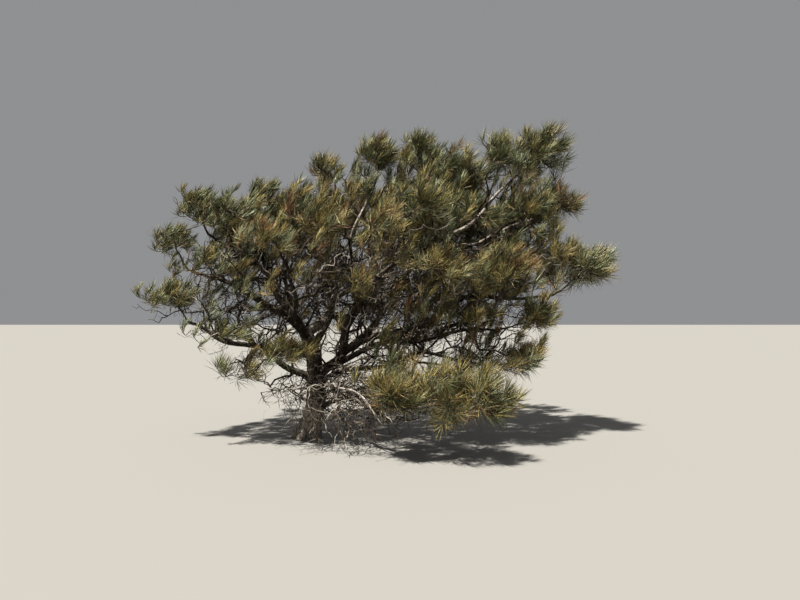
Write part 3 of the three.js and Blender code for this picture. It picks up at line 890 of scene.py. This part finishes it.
CROWN = region(
    ((0.8, 0.05, 2.25), (2.6, 1.5, 1.2)),
    ((2.2, 0.0, 3.05), (1.3, 1.0, 0.85)),
    ((1.4, -0.3, 1.2), (1.6, 0.9, 0.45)),
    ((1.45, -1.2, 0.62), (1.15, 0.55, 0.5)),
    ((-1.05, -0.4, 1.52), (0.95, 0.55, 0.5)),
    ((-0.5, -0.35, 1.1), (0.85, 0.55, 0.42)),
) + [(mass.centre, mass.half) for mass in MASSES]
FOOT = region(((0.55, -0.4, 0.4), (1.15, 0.9, 0.7)))
BOUGHS_BELOW = 3.6
OFF_GROUND = 0.02


def within(ellipsoids, point):
    return any(np.linalg.norm((point - centre) / half) < 1 for centre, half in ellipsoids)


def in_crown(point):
    return point[2] < BOUGHS_BELOW and within(CROWN, point)


def round_foot(point):
    return within(FOOT, point) and point[2] > OFF_GROUND


def side_twig(line, share, roll, reach, rise, seed, crook=0.05):
    """A twig that leaves a line to the side and turns upwards and downwind."""
    start = line.at(share)
    leaving = unit(0.6 * line.along(share) + line.outward(share, roll))
    turned = unit(leaving + WIND * 0.35 + UP * rise)
    via = start + 0.5 * reach * leaving
    return Line(start, via, via + 0.5 * reach * turned, crook * reach, seed)


def spread_along(line, span, spacing, draw):
    """Number and share of the length of each place in the span, each moved a little by chance."""
    low, high = span
    count = max(1, round(line.length() * (high - low) / spacing))
    for n in range(count):
        yield n, low + (high - low) * (n + draw()) / count


# %% Inner boughs, between the limbs and the masses
def inner_boughs(line, span, spacing, reach, radius, seed, rise=0.3, keep=in_crown, crook=0.07):
    """span: the share of the line that carries them; keep: a test that their points have to pass."""
    draw = draws(seed)
    made = []
    for n, share in spread_along(line, span, spacing, draw):
        own = reach * (0.6 + 0.7 * draw())
        bough = side_twig(line, share, n * GOLDEN_ANGLE + draw(), own, rise, seed * 13 + n, crook)
        points = bough.at(np.linspace(0, 1, 9))
        hiding = any(hides_pale_limb(point, 0.05) for point in points[3:])
        onward = bough.along(0.05) @ bough.along(0.95) > 0.35
        kept = points[:, 2].min() > 0.03 and all(keep(point) for point in points[2:])
        if kept and onward and not hiding:
            made.append(Twig(bough, radius * (0.7 + 0.5 * draw()), radius * 0.3, 1.0))
    return made


# How far apart the small boughs stand on limbs that carry many of them
CLOSER = {
    "skirt_bough": 0.06, "low_east_bough": 0.09, "lowest_east_bough": 0.08, "right_bough": 0.11,
    "east_leader": 0.1, "upper_right_bough": 0.1, "leader": 0.12, "west_low_bough": 0.08,
}
large = []
for index, limb in enumerate(LIMBS):
    if limb.name != DEAD:
        spacing = CLOSER.get(limb.name, 0.15)
        large += inner_boughs(lines[limb.name], (0.1, 0.97), spacing, 0.9, 0.0165, 7000 + index)
for index, (mass, stem) in enumerate(zip(MASSES, stems)):
    if mass.name in FULLER:
        large += inner_boughs(stem.line, (0.35, 1.0), 0.1, 0.42, 0.0085, 7050 + index)
small = []
for index, bough in enumerate(large):
    small += inner_boughs(bough.line, (0.2, 1.0), 0.14, 0.46, 0.0082, 12000 + index, crook=0.09)
total = round(sum(bough.line.length() for bough in large + small))
print(len(large), "inner boughs,", len(small), "smaller ones,", total, "m")

# %% Dead boughs round the foot, and smaller ones along them
DROOPING = {"keep": round_foot, "crook": 0.06}
foot = []
for name, span, spacing, reach, radius, seed, rise in (
    ("trunk", (0.22, 0.74), 0.0045, 1.1, 0.0125, 7100, -0.85),
    ("skirt_bough", (0.02, 0.8), 0.05, 0.85, 0.011, 7102, -1.0),
    (DEAD, (0.1, 0.95), 0.08, 0.5, 0.008, 7103, -0.3),
):
    foot += inner_boughs(lines[name], span, spacing, reach, radius, seed, rise, **DROOPING)
for index, bough in enumerate(list(foot)):
    foot += inner_boughs(bough.line, (0.25, 1.0), 0.1, 0.45, 0.0065, 7150 + index, -0.5, **DROOPING)
print(len(foot), "dead boughs at the foot")

# %% [markdown]
# ## Tufts: shoots that turn downwind
#
# Each CAD spray stands for a tuft. In life a tuft is a twig whose end splits into five or six shoots,
# and all of them turn upwards and downwind as they grow, so the tree looks combed. Here each twig
# gets side shoots all round and goes on itself as the leading shoot. They leave close together near
# its end, so each tuft is a brush of its own, with gaps between. The root of a shoot is bare, because
# a pine drops its old needles.

# %% How hard the wind has pressed, and where the crown shades itself
SHADE = region(
    ((0.6, -0.2, 1.75), (1.6, 1.35, 0.62)),
    ((1.05, -0.3, 1.15), (1.1, 0.9, 0.42)),
    ((-0.5, -0.2, 1.86), (1.05, 1.25, 0.6)),
    ((-0.75, -0.2, 2.25), (0.7, 1.2, 0.38)),
    ((1.85, -0.3, 1.5), (0.85, 1.2, 0.36)),
)
LEE_FROM = 1.6


def windward(point):
    """1 on the side that the wind meets, 0 from the middle of the crown on."""
    return min(1.0, max(0.0, (LEE_FROM - point[0]) / 2.8))


def in_shade(point):
    return within(SHADE, point)


print("wind on the masses:", {mass.name: round(windward(mass.centre), 2) for mass in MASSES})

# %% Shoots of a tuft
SIDE_SHOOTS = 4
NEEDLES_ABOVE, NEEDLES_BELOW = 0.16, 4.1
Shoot = namedtuple("Shoot", "mass tuft line needles_from")


def nearest_mass(point):
    return min(MASSES, key=lambda mass: np.linalg.norm((point - mass.centre) / mass.half))


def shoots_of(mass, twig, count, seed, size):
    """The side shoots and then the leading one; a tuft on an inner bough has no mass of its own."""
    draw = draws(seed)
    bent = 0.5 + 0.6 * windward(twig.line.tip)
    lift = 0.5 - 0.4 * windward(twig.line.tip)
    leafy_part = min(1 - twig.bare_to, 0.3 / twig.line.length())
    shoots = []
    for n in range(count + 1):
        leading = n == count
        share = 1 - leafy_part * (0.1 if leading else 0.95 - 0.75 * n / count)
        start = twig.line.at(share)
        outward = twig.line.outward(share, n * GOLDEN_ANGLE + FULL_TURN * draw())
        leaving = unit(twig.line.along(share) + (0.15 if leading else 0.8) * outward)
        turned = unit(leaving * 0.5 + (WIND * 0.65 + UP * lift) * bent)
        length = size * (0.7 + 0.5 * draw())
        via = start + 0.5 * length * leaving
        line = Line(start, via, via + 0.5 * length * turned, 0.01, seed + n)
        ahead = line.tip + 0.14 * turned
        inside = in_space(mass, ahead, 1.15) if mass else within(CROWN, ahead)
        hiding = hides_pale_limb(line.tip) or hides_pale_limb(ahead)
        if inside and NEEDLES_ABOVE < ahead[2] < NEEDLES_BELOW and not hiding:
            shoots.append(Shoot(mass or nearest_mass(line.tip), seed, line, 0.15 if leading else 0.25))
    return shoots


BARE_IN_SHADE = 0.64
shoots, empty = [], []
for index, (mass, twig) in enumerate(tufts):
    own = []
    shed = in_shade(twig.line.tip) and draws(38000 + index)() < BARE_IN_SHADE
    if mass.name != BARE and not shed:
        size = 0.19 * min(1.0, 0.85 * twig.line.length() / TUFT_LENGTH)
        own = shoots_of(mass, twig, SIDE_SHOOTS, 40000 + 10 * index, size)
        if len(own) < 2:
            own = []
            empty.append(twig)
    shoots += own
print(len(shoots), "shoots with needles in the masses")

# %% Twigs that end bare in the open crown are left out, unless others grow from them
roots = np.array([twig.line.start for _, twig in tufts])


def carries_others(twig):
    places = twig.line.at(leaving_shares(twig))
    return bool((np.linalg.norm(roots[:, None] - places[None], axis=2) < 0.001).any())


left_out = {id(twig) for twig in empty if not carries_others(twig)}
print(len(left_out), "of", len(empty), "bare ends left out")

# %% Tufts on the inner boughs, few of them where the crown shades itself
LOW, HIGH = 1.1, 2.7


def skipped(place):
    """How often a place for a tuft stays bare."""
    if in_shade(place):
        return 0.88
    return 0.0 if place[2] > HIGH else 0.3


inner_tufts, kept_small, before = [], [], len(shoots)
for index, bough in enumerate(small):
    draw = draws(30000 + index)
    own = []
    for n, share in enumerate((0.6, 0.98, 0.3) if bough.line.tip[2] < LOW else (0.6, 0.98)):
        if draw() < skipped(bough.line.at(share)):
            continue
        reach = 0.14 + 0.1 * draw()
        roll = FULL_TURN * draw()
        line = side_twig(bough.line, share, roll, reach, 0.8, 31000 + 10 * index + n)
        twig = Twig(line, 0.0045, 0.0035, 0.2)
        found = shoots_of(None, twig, 2, 50000 + 20 * index + 5 * n, 0.13)
        if found:
            own.append((share, twig, found))
    if bough.line.tip[2] < HIGH or any(share > 0.9 for share, _, _ in own):
        kept_small.append(bough)
        inner_tufts += [twig for _, twig, _ in own]
        shoots += [shoot for _, _, found in own for shoot in found]
print(len(inner_tufts), "tufts on the inner boughs, with", len(shoots) - before, "shoots;", end=" ")
print(len(small) - len(kept_small), "boughs with a bare end at the top left out")
small = kept_small

# %% [markdown]
# ## Bare twigs inside the crown
#
# Where the crown shades itself the needles are gone, but the twigs stay, thin, crooked and forked, and
# the sky shows between them. Bare twigs leave every limb, stem and twig along its length, and smaller
# ones leave them in turn. The same few lines of code call themselves for each smaller size.

# %% Twigs along a line, with smaller twigs along them
BARE_BELOW = 3.1
BARE_CROOK = 0.09


def below_the_top(point):
    return in_crown(point) and point[2] < BARE_BELOW


def fringe(rows, line, span, spacing, reach, radius, levels, seed, rise=0.3, keep=below_the_top):
    """Adds twigs to rows; levels: how many sizes there are, each on the one before."""
    draw = draws(seed)
    for n, share in spread_along(line, span, spacing, draw):
        roll = n * GOLDEN_ANGLE + 2 * draw()
        own = reach * (0.45 + 0.9 * draw() ** 2)
        twig = side_twig(line, share, roll, own, rise, seed * 31 + n, BARE_CROOK)
        points = twig.at(np.linspace(0, 1, 5 if reach > 0.25 else 3))
        tip = points[-1]
        if points[:, 2].min() < OFF_GROUND or not keep(tip) or hides_pale_limb(tip, 0.03):
            continue
        rows.append((points, radius * np.linspace(1, 0.35, len(points))))
        if levels > 1:
            smaller = (spacing * 0.85, reach * 0.5, radius * 0.6, levels - 1, seed * 17 + n, rise, keep)
            fringe(rows, twig, (0.25, 0.95), *smaller)


# %% Bare twigs along everything that has lost its needles
bare_rows = []
for index, bough in enumerate(large):
    fringe(bare_rows, bough.line, (0.1, 1.0), 0.13, 0.26, 0.0042, 1, 7200 + index)
for index, bough in enumerate(small):
    fringe(bare_rows, bough.line, (0.15, 1.0), 0.11, 0.2, 0.0034, 1, 17000 + index)
for index, limb in enumerate(LIMBS):
    if limb.name != DEAD:
        fringe(bare_rows, lines[limb.name], (0.12, 0.97), 0.12, 0.3, 0.0045, 2, 7700 + index)
for index, (mass, twig) in enumerate(tufts):
    if mass.name == BARE:
        fringe(bare_rows, twig.line, (0.1, 1.0), 0.08, 0.24, 0.0032, 2, 8000 + index)
    elif twig.bare_to > 0.25:
        fringe(bare_rows, twig.line, (0.05, twig.bare_to), 0.1, 0.15, 0.0026, 1, 8000 + index)
for index, stem in enumerate(stems):
    fringe(bare_rows, stem.line, (0.1, 0.9), 0.09, 0.22, 0.0034, 1, 9000 + index)
dead_rows = []
for index, bough in enumerate(foot):
    fringe(dead_rows, bough.line, (0.1, 1.0), 0.09, 0.2, 0.0042, 1, 9400 + index, -0.3, round_foot)
fringe(dead_rows, lines[DEAD], (0.3, 1.0), 0.09, 0.24, 0.0045, 2, 9600, -0.1, round_foot)
print(len(bare_rows), "bare twigs and", len(dead_rows), "dead ones round the foot")

# %% A tree of nodes that draws a tapering twig round each line
twig_tree, board, given = new_geometry_tree(
    "twigs_round_lines",
    [("Sides", "NodeSocketInt", 3), ("Material", "NodeSocketMaterial", None)],
)
curve = board.node("GeometryNodeMeshToCurve", None, {"Mesh": given["Geometry"]})["Curve"]
thickness = board.stored("thickness")
inputs = {"Resolution": given["Sides"], "Radius": 1.0}
ring = board.node("GeometryNodeCurvePrimitiveCircle", None, inputs)["Curve"]
inputs = {"Curve": curve, "Profile Curve": ring, "Scale": thickness, "Fill Caps": True}
twig_mesh = board.node("GeometryNodeCurveToMesh", None, inputs)["Mesh"]
end_tree(board, twig_mesh, given["Material"], True)

# %% The finish of twigs
def twig_finish(name, dark, light):
    material, board, shader = new_finish(name, 0.85, 0.2)
    place = board.node("ShaderNodeTexCoord")["Object"]
    patch = noise(board, place, 9.0, 2.0)
    grain = noise(board, place, 90.0, 3.0)
    share = ramp(board, patch * 0.7 + grain * 0.3, 0.4, 0.62)
    feed(board, mix(board, share, colour(dark), colour(light)), shader, "Base Color")
    bump = board.node("ShaderNodeBump", None, {"Height": grain, "Strength": 0.5, "Distance": 0.002})
    feed(board, bump["Normal"], shader, "Normal")
    return material


# Painted shade: twig bark is near black, as twigs look in the shade of the crown.
twig_bark = twig_finish("twig_bark", "#1d1813", "#51473c")
shoot_bark = twig_finish("shoot_bark", "#4a3c2c", "#86745c")
dead_twig = twig_finish("dead_twig", "#7b746a", "#b4ada2")
print("twigs in three finishes")

# %% Twigs and shoots as pieces
def add_twigs(name, rows, sides, material, slot, nodes=()):
    piece = run_tree(name, line_object(rows), twig_tree, {"Sides": sides, "Material": material})
    hand_over(piece, slot, nodes)


def foliage_nodes(masses):
    return [mass.name if mass.name == BARE else f"{mass.name}_foliage" for mass in masses]


def row_of(twig, count):
    share = np.linspace(0, 1, count)
    return twig.line.at(share), radius_of(twig, share)


SHOOT_ROOT, SHOOT_END = 0.0038, 0.0025
THIN = 0.009
stem_rows = [row_of(stem, 12) for stem in stems]
inner_rows = [row_of(bough, 9) for bough in large + small]
twig_rows = [row_of(twig, 6) for _, twig in tufts if id(twig) not in left_out]
twig_rows += [row_of(twig, 3) for twig in inner_tufts]
shoot_radii = np.linspace(SHOOT_ROOT, SHOOT_END, 3)
shoot_rows = [(shoot.line.at(np.linspace(0, 1, 3)), shoot_radii) for shoot in shoots]
leafy = [mass for mass in MASSES if mass.name != BARE]
add_twigs("stems_and_twigs", stem_rows + twig_rows, 5, twig_bark, "bark", foliage_nodes(leafy))
add_twigs("shoots", shoot_rows, 3, shoot_bark, "bark", foliage_nodes(leafy))
foot_rows = [row_of(bough, 7) for bough in foot] + dead_rows
for name, weathered_name, rows, sides, pale_share in (
    ("inner_boughs", "weathered_inner_boughs", inner_rows, 5, 0.2),
    ("bare_twigs", "weathered_twigs", bare_rows, 3, 0.22),
    ("foot_twigs", "dead_foot_twigs", foot_rows, 4, 0.24),
):
    draw = draws(89)
    pale = [draw() < pale_share and radii[0] < THIN for _, radii in rows]
    own = [row for row, is_pale in zip(rows, pale) if not is_pale]
    add_twigs(name, own, sides, twig_bark, "bark", [BARE])
    paler = [row for row, is_pale in zip(rows, pale) if is_pale]
    add_twigs(weathered_name, paler, sides, dead_twig, "dead_wood")

# %% [markdown]
# ## Needles
#
# The needles are up to twenty-five centimetres long, in bundles of five. One spindle stands for a
# bundle: it is slim, closed, bent a little off its line, and has four faces, because at this count
# every face is paid for more than a hundred thousand times. A tree of nodes walks along each shoot,
# sets one spindle every few millimetres, turns it by the golden angle, leans it forward off the shoot
# and down the wind, and makes the copies real at the end.

# %% One bundle of needles, of unit length
def bundle_object(width, bow, middle):
    """A closed spindle of four faces: a point at each end and two at its widest, off its line."""
    points = [(0, 0, 0), (bow, -width / 2, middle), (bow, width / 2, middle), (0, 0, 1)]
    faces = [(0, 2, 1), (3, 1, 2), (0, 1, 3), (0, 3, 2)]
    mesh = bpy.data.meshes.new("bundle")
    mesh.from_pydata(points, [], faces)
    return bpy.data.objects.new("bundle", mesh)


bundle = bundle_object(width=0.04, bow=0.018, middle=0.4)
print("bundle:", len(bundle.data.polygons), "faces")

# %% A tree of nodes that clothes shoots in needles
needle_tree, board, given = new_geometry_tree(
    "needles_along_shoots",
    [
        ("Bundle", "NodeSocketObject", None),
        ("Spacing", "NodeSocketFloat", 0.0099),
        ("Bundle width", "NodeSocketFloat", 0.18),
        ("Lean at root", "NodeSocketFloat", 0.7),
        ("Lean at tip", "NodeSocketFloat", 0.22),
        ("Wind", "NodeSocketVector", (0.0, 0.0, 0.0)),
        ("Seed", "NodeSocketInt", 1),
        ("Material", "NodeSocketMaterial", None),
    ],
)


def chance(low, high, salt):
    inputs = {2: low, 3: high, "Seed": given["Seed"] + salt}
    return board.node("FunctionNodeRandomValue", {"data_type": "FLOAT"}, inputs)["Value"]


curve = board.node("GeometryNodeMeshToCurve", None, {"Mesh": given["Geometry"]})["Curve"]
inputs = {"Curve": curve, "Length": given["Spacing"]}
spaced = board.node("GeometryNodeResampleCurve", {"mode": "LENGTH"}, inputs)["Curve"]
tangent = board.node("GeometryNodeInputTangent")["Tangent"]
normal = board.node("GeometryNodeInputNormal")["Normal"]
cross = {"operation": "CROSS_PRODUCT"}
binormal = board.node("ShaderNodeVectorMath", cross, {0: tangent, 1: normal})["Vector"]
angle = board.node("GeometryNodeInputIndex")["Index"] * GOLDEN_ANGLE + chance(-0.5, 0.5, 1)
outward = normal * board.maths("COSINE", angle) + binormal * board.maths("SINE", angle)
age = board.stored("age")
lean = given["Lean at root"] * age + given["Lean at tip"] * (1 - age)
lean = lean * board.stored("spread") * chance(0.6, 1.3, 2)
direction = tangent + outward * lean + given["Wind"] * board.stored("sway")
ALIGN = "FunctionNodeAlignRotationToVector"
point = board.node(ALIGN, {"axis": "Z"}, {"Vector": direction})["Rotation"]
inputs = {"Rotation": point, "Vector": outward}
turned = board.node(ALIGN, {"axis": "X", "pivot_axis": "Z"}, inputs)
long = board.stored("needle_length") * chance(0.75, 1.08, 3)
inputs = {"X": given["Bundle width"], "Y": given["Bundle width"], "Z": long}
size = board.node("ShaderNodeCombineXYZ", None, inputs)["Vector"]
copy = board.node("GeometryNodeObjectInfo", None, {"Object": given["Bundle"]})["Geometry"]
inputs = {"Points": spaced, "Instance": copy, "Rotation": turned["Rotation"], "Scale": size}
placed = board.node("GeometryNodeInstanceOnPoints", None, inputs)["Instances"]
end_tree(board, placed, given["Material"], False)
print("needle tree:", len(needle_tree.nodes), "nodes")

# %% [markdown]
# ## The colours of the needles
#
# Young needles are grey-green. Old ones turn olive, then gold and rust, and stay on for years, and
# the core of a brush lies in its own shade. A picture or a pattern in space would be muddled on such
# fine meshes when the model is exported. So each tone is a piece with its own plain finish, and each
# shoot is dealt five rows of needles: old ones near its root, mostly dark, a darker tone beside the
# young ones, and the young ones in a tone that most of the tuft shares. Where the tuft hangs decides
# how likely each tone is: more green on the windward side and at the top, more gold low down.
# The near-black core tone is painted shade for the core of each brush, and the lobe is dealt more of the
# pale tones, as painted sunlight.

# %% Tones and how they are dealt
def needle_finish(name, dark, light):
    material, board, shader = new_finish(name, 0.5, 0.35)
    place = board.node("ShaderNodeTexCoord")["Object"]
    fleck = ramp(board, noise(board, place, 60.0, 2.0), 0.35, 0.65)
    feed(board, mix(board, fleck, colour(dark), colour(light)), shader, "Base Color")
    return material


TONES = {
    # Painted shade: the core tone is near black, for the core of a brush that lies in its own shade.
    "core": ("needles_olive", "#17180e", "#3a3b22"),
    "grey_green": ("needles_grey_green", "#626950", "#b5ba94"),
    "deep_green": ("needles_grey_green", "#2c321d", "#5f643e"),
    "olive": ("needles_olive", "#615734", "#b0a264"),
    "straw": ("needles_gold", "#8f8354", "#c3b67f"),
    "gold": ("needles_gold", "#645433", "#978255"),
    "rust": ("needles_gold", "#5a432d", "#8f6c4a"),
}
# Old needles and those beside the young ones often take the core tone, painted shade.
OLDER = dict(core=0.46, deep_green=0.24, olive=0.14, gold=0.08, rust=0.08)
BESIDE = dict(core=0.34, deep_green=0.26, olive=0.2, gold=0.08, rust=0.12)
GREENER = dict(core=0.38, deep_green=0.44, olive=0.18)
DEALS = {
    "west": dict(grey_green=0.66, deep_green=0.14, olive=0.16, straw=0.04),
    "top": dict(grey_green=0.3, deep_green=0.34, olive=0.3, rust=0.06),
    # Painted sunlight: the lobe is dealt more of the pale grey-green and straw than the middle of the
    # crown.
    "lobe": dict(grey_green=0.5, olive=0.26, straw=0.18, gold=0.06),
    "middle": dict(grey_green=0.2, deep_green=0.1, olive=0.36, straw=0.1, gold=0.13, rust=0.11),
    "low": dict(grey_green=0.18, deep_green=0.3, olive=0.36, straw=0.02, gold=0.08, rust=0.06),
}


def slot_of(mass):
    x, y, z = mass.centre
    if x < -0.5 or x > 3.0 or z > 3.3:
        return "needles_grey_green"
    return "needles_gold" if y < -0.6 or z < 1.7 else "needles_olive"


def place_of(mass):
    x, y, z = mass.centre
    if x < -0.5:
        return "west"
    if z > 2.6 and x > 0.8:
        return "top"
    if mass.name == "lobe":
        return "lobe"
    return "low" if z < 1.7 else "middle"


def deal(shares, number):
    for tone, share in shares.items():
        number -= share
        if number < 0:
            return tone
    return tone


# %% Five rows of needles for each shoot; the brushes of the skirt and the lobe spread like fans
LOBE_FROM = 3.1
SHARED_TONE = 0.86
dealt = {tone: [] for tone in TONES}
draw = draws(77)
for shoot in shoots:
    press = windward(shoot.line.tip)
    tuft_draw = draws(shoot.tuft)
    fan = 1.0 if shoot.line.tip[2] < LOW or shoot.line.tip[0] > LOBE_FROM else 0.0
    length = 0.185 - 0.015 * press + 0.04 * fan
    sway = 0.25 + 0.3 * press - 0.2 * fan
    spread = 1.0 - 0.1 * press + 0.4 * fan
    chosen = tuft_draw if draw() < SHARED_TONE else draw
    place = place_of(shoot.mass)
    young = deal(DEALS[place], chosen())
    beside = GREENER if place in ("west", "top") else BESIDE
    for root, tip, tone in (
        (shoot.needles_from, 0.45, deal(OLDER, draw())),
        (shoot.needles_from, 0.7, deal(beside, draw())),
        (0.4, 1.0, deal(beside, draw())),
        (0.4, 1.0, young),
        (0.6, 1.0, young),
    ):
        age = 1 - np.linspace(root, tip, 3)
        row = (shoot.line.at(1 - age), age, *np.repeat([[length], [sway], [spread]], 3, axis=1))
        dealt[tone].append(row)
print({tone: len(group) for tone, group in dealt.items()})

# %% Needles in their tones
SPACING = 0.0099
LOWEST_NEEDLE = 0.004
DRIFT = WIND + UP * 0.3
for number, (tone, rows) in enumerate(dealt.items()):
    slot, dark, light = TONES[tone]
    values = {
        "Bundle": bundle,
        "Spacing": SPACING,
        "Wind": tuple(float(c) for c in DRIFT),
        "Seed": 10 * number,
        "Material": needle_finish(f"needles_{tone}", dark, light),
    }
    source = line_object(rows, ("age", "needle_length", "sway", "spread"))
    piece = run_tree(f"needles_{tone}", source, needle_tree, values)
    keep_above(piece, LOWEST_NEEDLE)
    hand_over(piece, slot, foliage_nodes([mass for mass in leafy if slot_of(mass) == slot]))

# %% [markdown]
# ## Buds
#
# Many shoots end in a small upright bud or young cone, brown against the green. They are drawn by the
# same tree as the twigs, from lines whose radius swells and closes again.

# %% Buds at the ends of shoots
BUDDING = 0.1
BUD_SHARES = np.array([-0.1, 0.1, 0.45, 0.8, 1.0])
BUD_RADII = np.array([0.003, 0.007, 0.0085, 0.005, 0.001])
bud_rows = []
for index, shoot in enumerate(shoots):
    draw = draws(60000 + index)
    if draw() > BUDDING:
        continue
    ahead = unit(shoot.line.along(1.0) + 0.6 * UP)
    length = 0.03 + 0.02 * draw()
    bud_rows.append((shoot.line.tip + BUD_SHARES[:, None] * length * ahead, BUD_RADII))
bud_skin = twig_finish("bud_skin", "#4e3220", "#8a6344")
add_twigs("buds", bud_rows, 4, bud_skin, "bark")
print(len(bud_rows), "buds")

# %% [markdown]
# ## Floor, light and camera
#
# A pale floor, an even sky and one sun high on the left show the tree as a studio would. The camera
# stands at a person's eye level, 7.8 m in front of the tree, and looks along +Y, with the angle of
# view of a phone's wide lens.

# %% Floor
bpy.ops.mesh.primitive_plane_add(size=200)
floor = bpy.context.object
floor.name = "studio_floor"
floor_finish, board, shader = new_finish("floor_paint", 0.9, 0.1)
shader.inputs["Base Color"].default_value = (0.235, 0.23, 0.22, 1)
floor.data.materials.append(floor_finish)
floor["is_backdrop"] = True

# %% Light
world = bpy.data.worlds.new("studio")
bpy.context.scene.world = world
world.use_nodes = True
sky = world.node_tree.nodes["Background"].inputs
sky["Color"].default_value = (0.87, 0.88, 0.9, 1)
sky["Strength"].default_value = 0.32


def sun_light(name, away, strength, softness, tint):
    """away: the direction from the tree to the light."""
    light = bpy.data.lights.new(name, "SUN")
    light.energy, light.angle, light.color = strength, math.radians(softness), tint
    flat = math.hypot(away[0], away[1])
    tilt = (math.atan2(flat, away[2]), 0, math.atan2(away[0], -away[1]))
    add_object(name, light).rotation_euler = tilt


sun_light("key", LIGHT, 9.6, 1.5, (1.0, 0.955, 0.87))

# %% Camera
camera_data = bpy.data.cameras.new("camera")
camera_data.lens = 27
camera_data.sensor_width = 36
camera_data.clip_end = 300
camera = add_object("camera", camera_data)
camera.location = EYE
camera.rotation_euler = (math.radians(91.53), 0, 0)
bpy.context.scene.camera = camera
bpy.context.scene.view_settings.view_transform = "Standard"

# %% [markdown]
# ## Size
#
# The dressed tree has to stay within the CAD box, give or take what soft needles may stand proud. So
# both boxes are printed.

# %% Both boxes
visual_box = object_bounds()
boxes = {"cad": cad_box, "visual": visual_box}
{name: [list(corner) for corner in box] for name, box in boxes.items()}
print("CAD box", [[round(c, 3) for c in corner] for corner in cad_box])
print("visual box", [[round(c, 3) for c in corner] for corner in visual_box])
